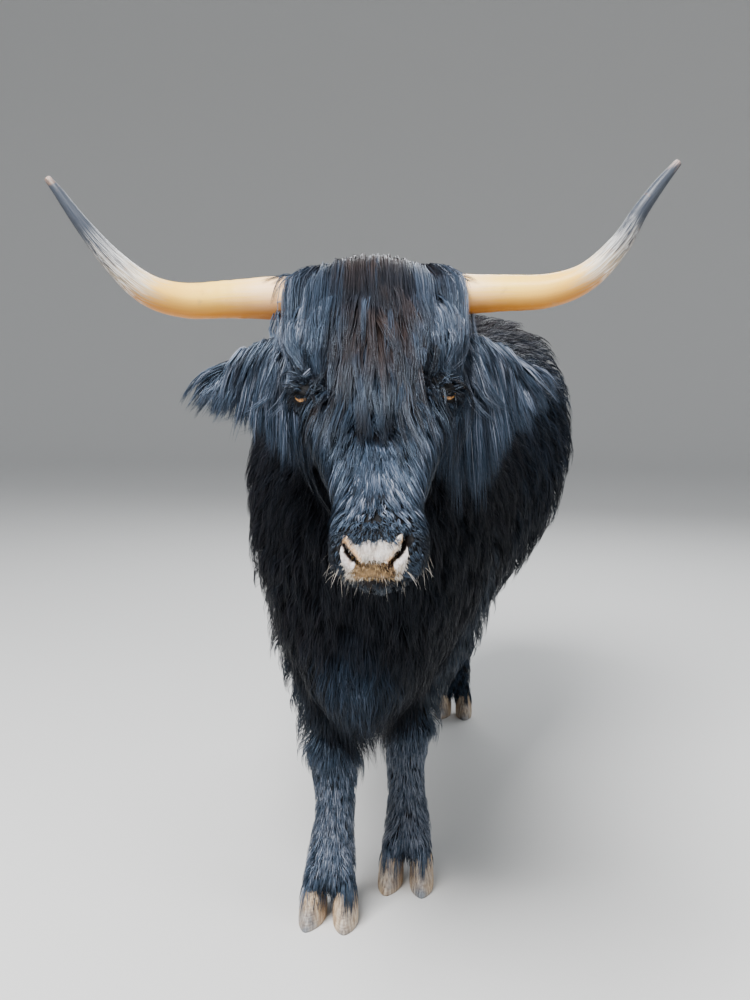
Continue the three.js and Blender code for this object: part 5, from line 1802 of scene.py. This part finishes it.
# ---- the whole animal ----
HAIR = hair_material("black_hair", specular=0.40)
DULL_HAIR = hair_material("dull_hair", specular=0.14)
skin_mesh, skin_region = build_skin()
add_skin(skin_mesh, skin_material())
SKIN_UV = vertex_uvs(skin_mesh)
GROUND = Ground(skin_mesh, skin_region)
grow_coat(GROUND, SKIN_UV, HAIR, DULL_HAIR)
PALE = whisker_material("whiskers", (0.50, 0.42, 0.32), (0.60, 0.56, 0.50), (0.86, 0.84, 0.80))
GOLDEN = whisker_material("soiled_down", (0.12, 0.06, 0.02), (0.34, 0.19, 0.07),
                          (0.62, 0.42, 0.17))
add_whiskers(GROUND, SKIN_UV, PALE, GOLDEN, DULL_HAIR)
add_wisps(SKIN_UV, GROUND, HAIR)

HORN = horn_material()
EYE = eye_material()
for side in ("left", "right"):
    add_horn(side, HORN)
    add_eye(side, EYE)
HOOF = hoof_material()
for name in CLAWS:
    add_hoof(name, HOOF)


# ---- stage, light and camera ----
CAMERA_AT = Vector((0.261, -2.038, 1.04))  # from the layout's origin
CAMERA_TURN = math.radians(7)
CAMERA_DOWN = math.radians(6.4)
CAMERA_ROLL = math.radians(-0.6)
CAMERA_LENS = 53.42
SENSOR_WIDTH = 36
# Each light: where it hangs, what it points at, its size, its power and its colour.
LIGHTS = {
    "key": ((-1.0, -3.0, 4.6), (0, -0.7, 0.8), (2.6, 2.2), 820, (0.97, 0.98, 1.0)),
    "fill": ((3.4, -2.6, 2.4), (0, -0.4, 0.7), (2.4, 2.4), 60, (0.95, 0.98, 1.0)),
    "back": ((0.5, 4.0, 3.6), (0, 0.5, 1.0), (3.0, 2.0), 150, (0.92, 0.96, 1.0)),
}


def add_camera():
    data = bpy.data.cameras.new("camera")
    data.lens = CAMERA_LENS
    data.sensor_width = SENSOR_WIDTH
    data.sensor_fit = "HORIZONTAL"
    camera = new_object("camera", data)
    camera.matrix_world = (
        Matrix.Translation(ORIGIN + CAMERA_AT)
        @ Matrix.Rotation(CAMERA_TURN, 4, "Z")
        @ Matrix.Rotation(math.pi / 2 - CAMERA_DOWN, 4, "X")
        @ Matrix.Rotation(-CAMERA_ROLL, 4, "Z")
    )
    bpy.context.scene.camera = camera


def add_area_light(name, at, towards, size, power, colour):
    data = bpy.data.lights.new(name, "AREA")
    data.shape = "RECTANGLE"
    data.size, data.size_y = size
    data.energy = power
    data.color = colour
    light = new_object(name, data)
    light.location = at
    light.rotation_euler = (Vector(towards) - Vector(at)).to_track_quat("-Z", "Y").to_euler()


def add_floor():
    """A floor that curves up into a wall all round, so that no edge of it shows."""
    turns = 96
    flat, bend, tall = 11.0, 6.0, 9.0
    arc = np.linspace(0, math.pi / 2, 13)
    radius = np.concatenate([np.linspace(0.5, flat, 8)[:-1], flat + bend * np.sin(arc),
                             [flat + bend]])
    height = np.concatenate([np.zeros(7), bend * (1 - np.cos(arc)), [bend + tall]])
    around = np.linspace(0, 2 * math.pi, turns, endpoint=False)
    points = np.stack([radius[:, None] * np.cos(around), radius[:, None] * np.sin(around),
                       np.broadcast_to(height[:, None], (len(radius), turns))], -1)
    points = np.concatenate([points.reshape(-1, 3), [(0, 0, 0)]])
    # Its faces look inwards and up, so each is turned over. Only its first ring is closed.
    quads, ends = ring_faces(len(radius), turns)
    faces = [quads[:, [0, 3, 2, 1]], ends[:turns, [0, 2, 1]]]
    floor = new_object("floor", build_mesh("floor", points, faces))
    material, _ = new_material("floor", Base_Color=(0.62, 0.61, 0.59, 1), Roughness=0.9)
    floor.data.materials.append(material)


def add_world():
    world = bpy.data.worlds.new("studio")
    world.use_nodes = True
    background = world.node_tree.nodes["Background"]
    background.inputs["Color"].default_value = (0.80, 0.86, 0.94, 1)
    background.inputs["Strength"].default_value = 0.60
    bpy.context.scene.world = world


add_camera()
add_floor()
add_world()
for name, light in LIGHTS.items():
    add_area_light(name, *light)
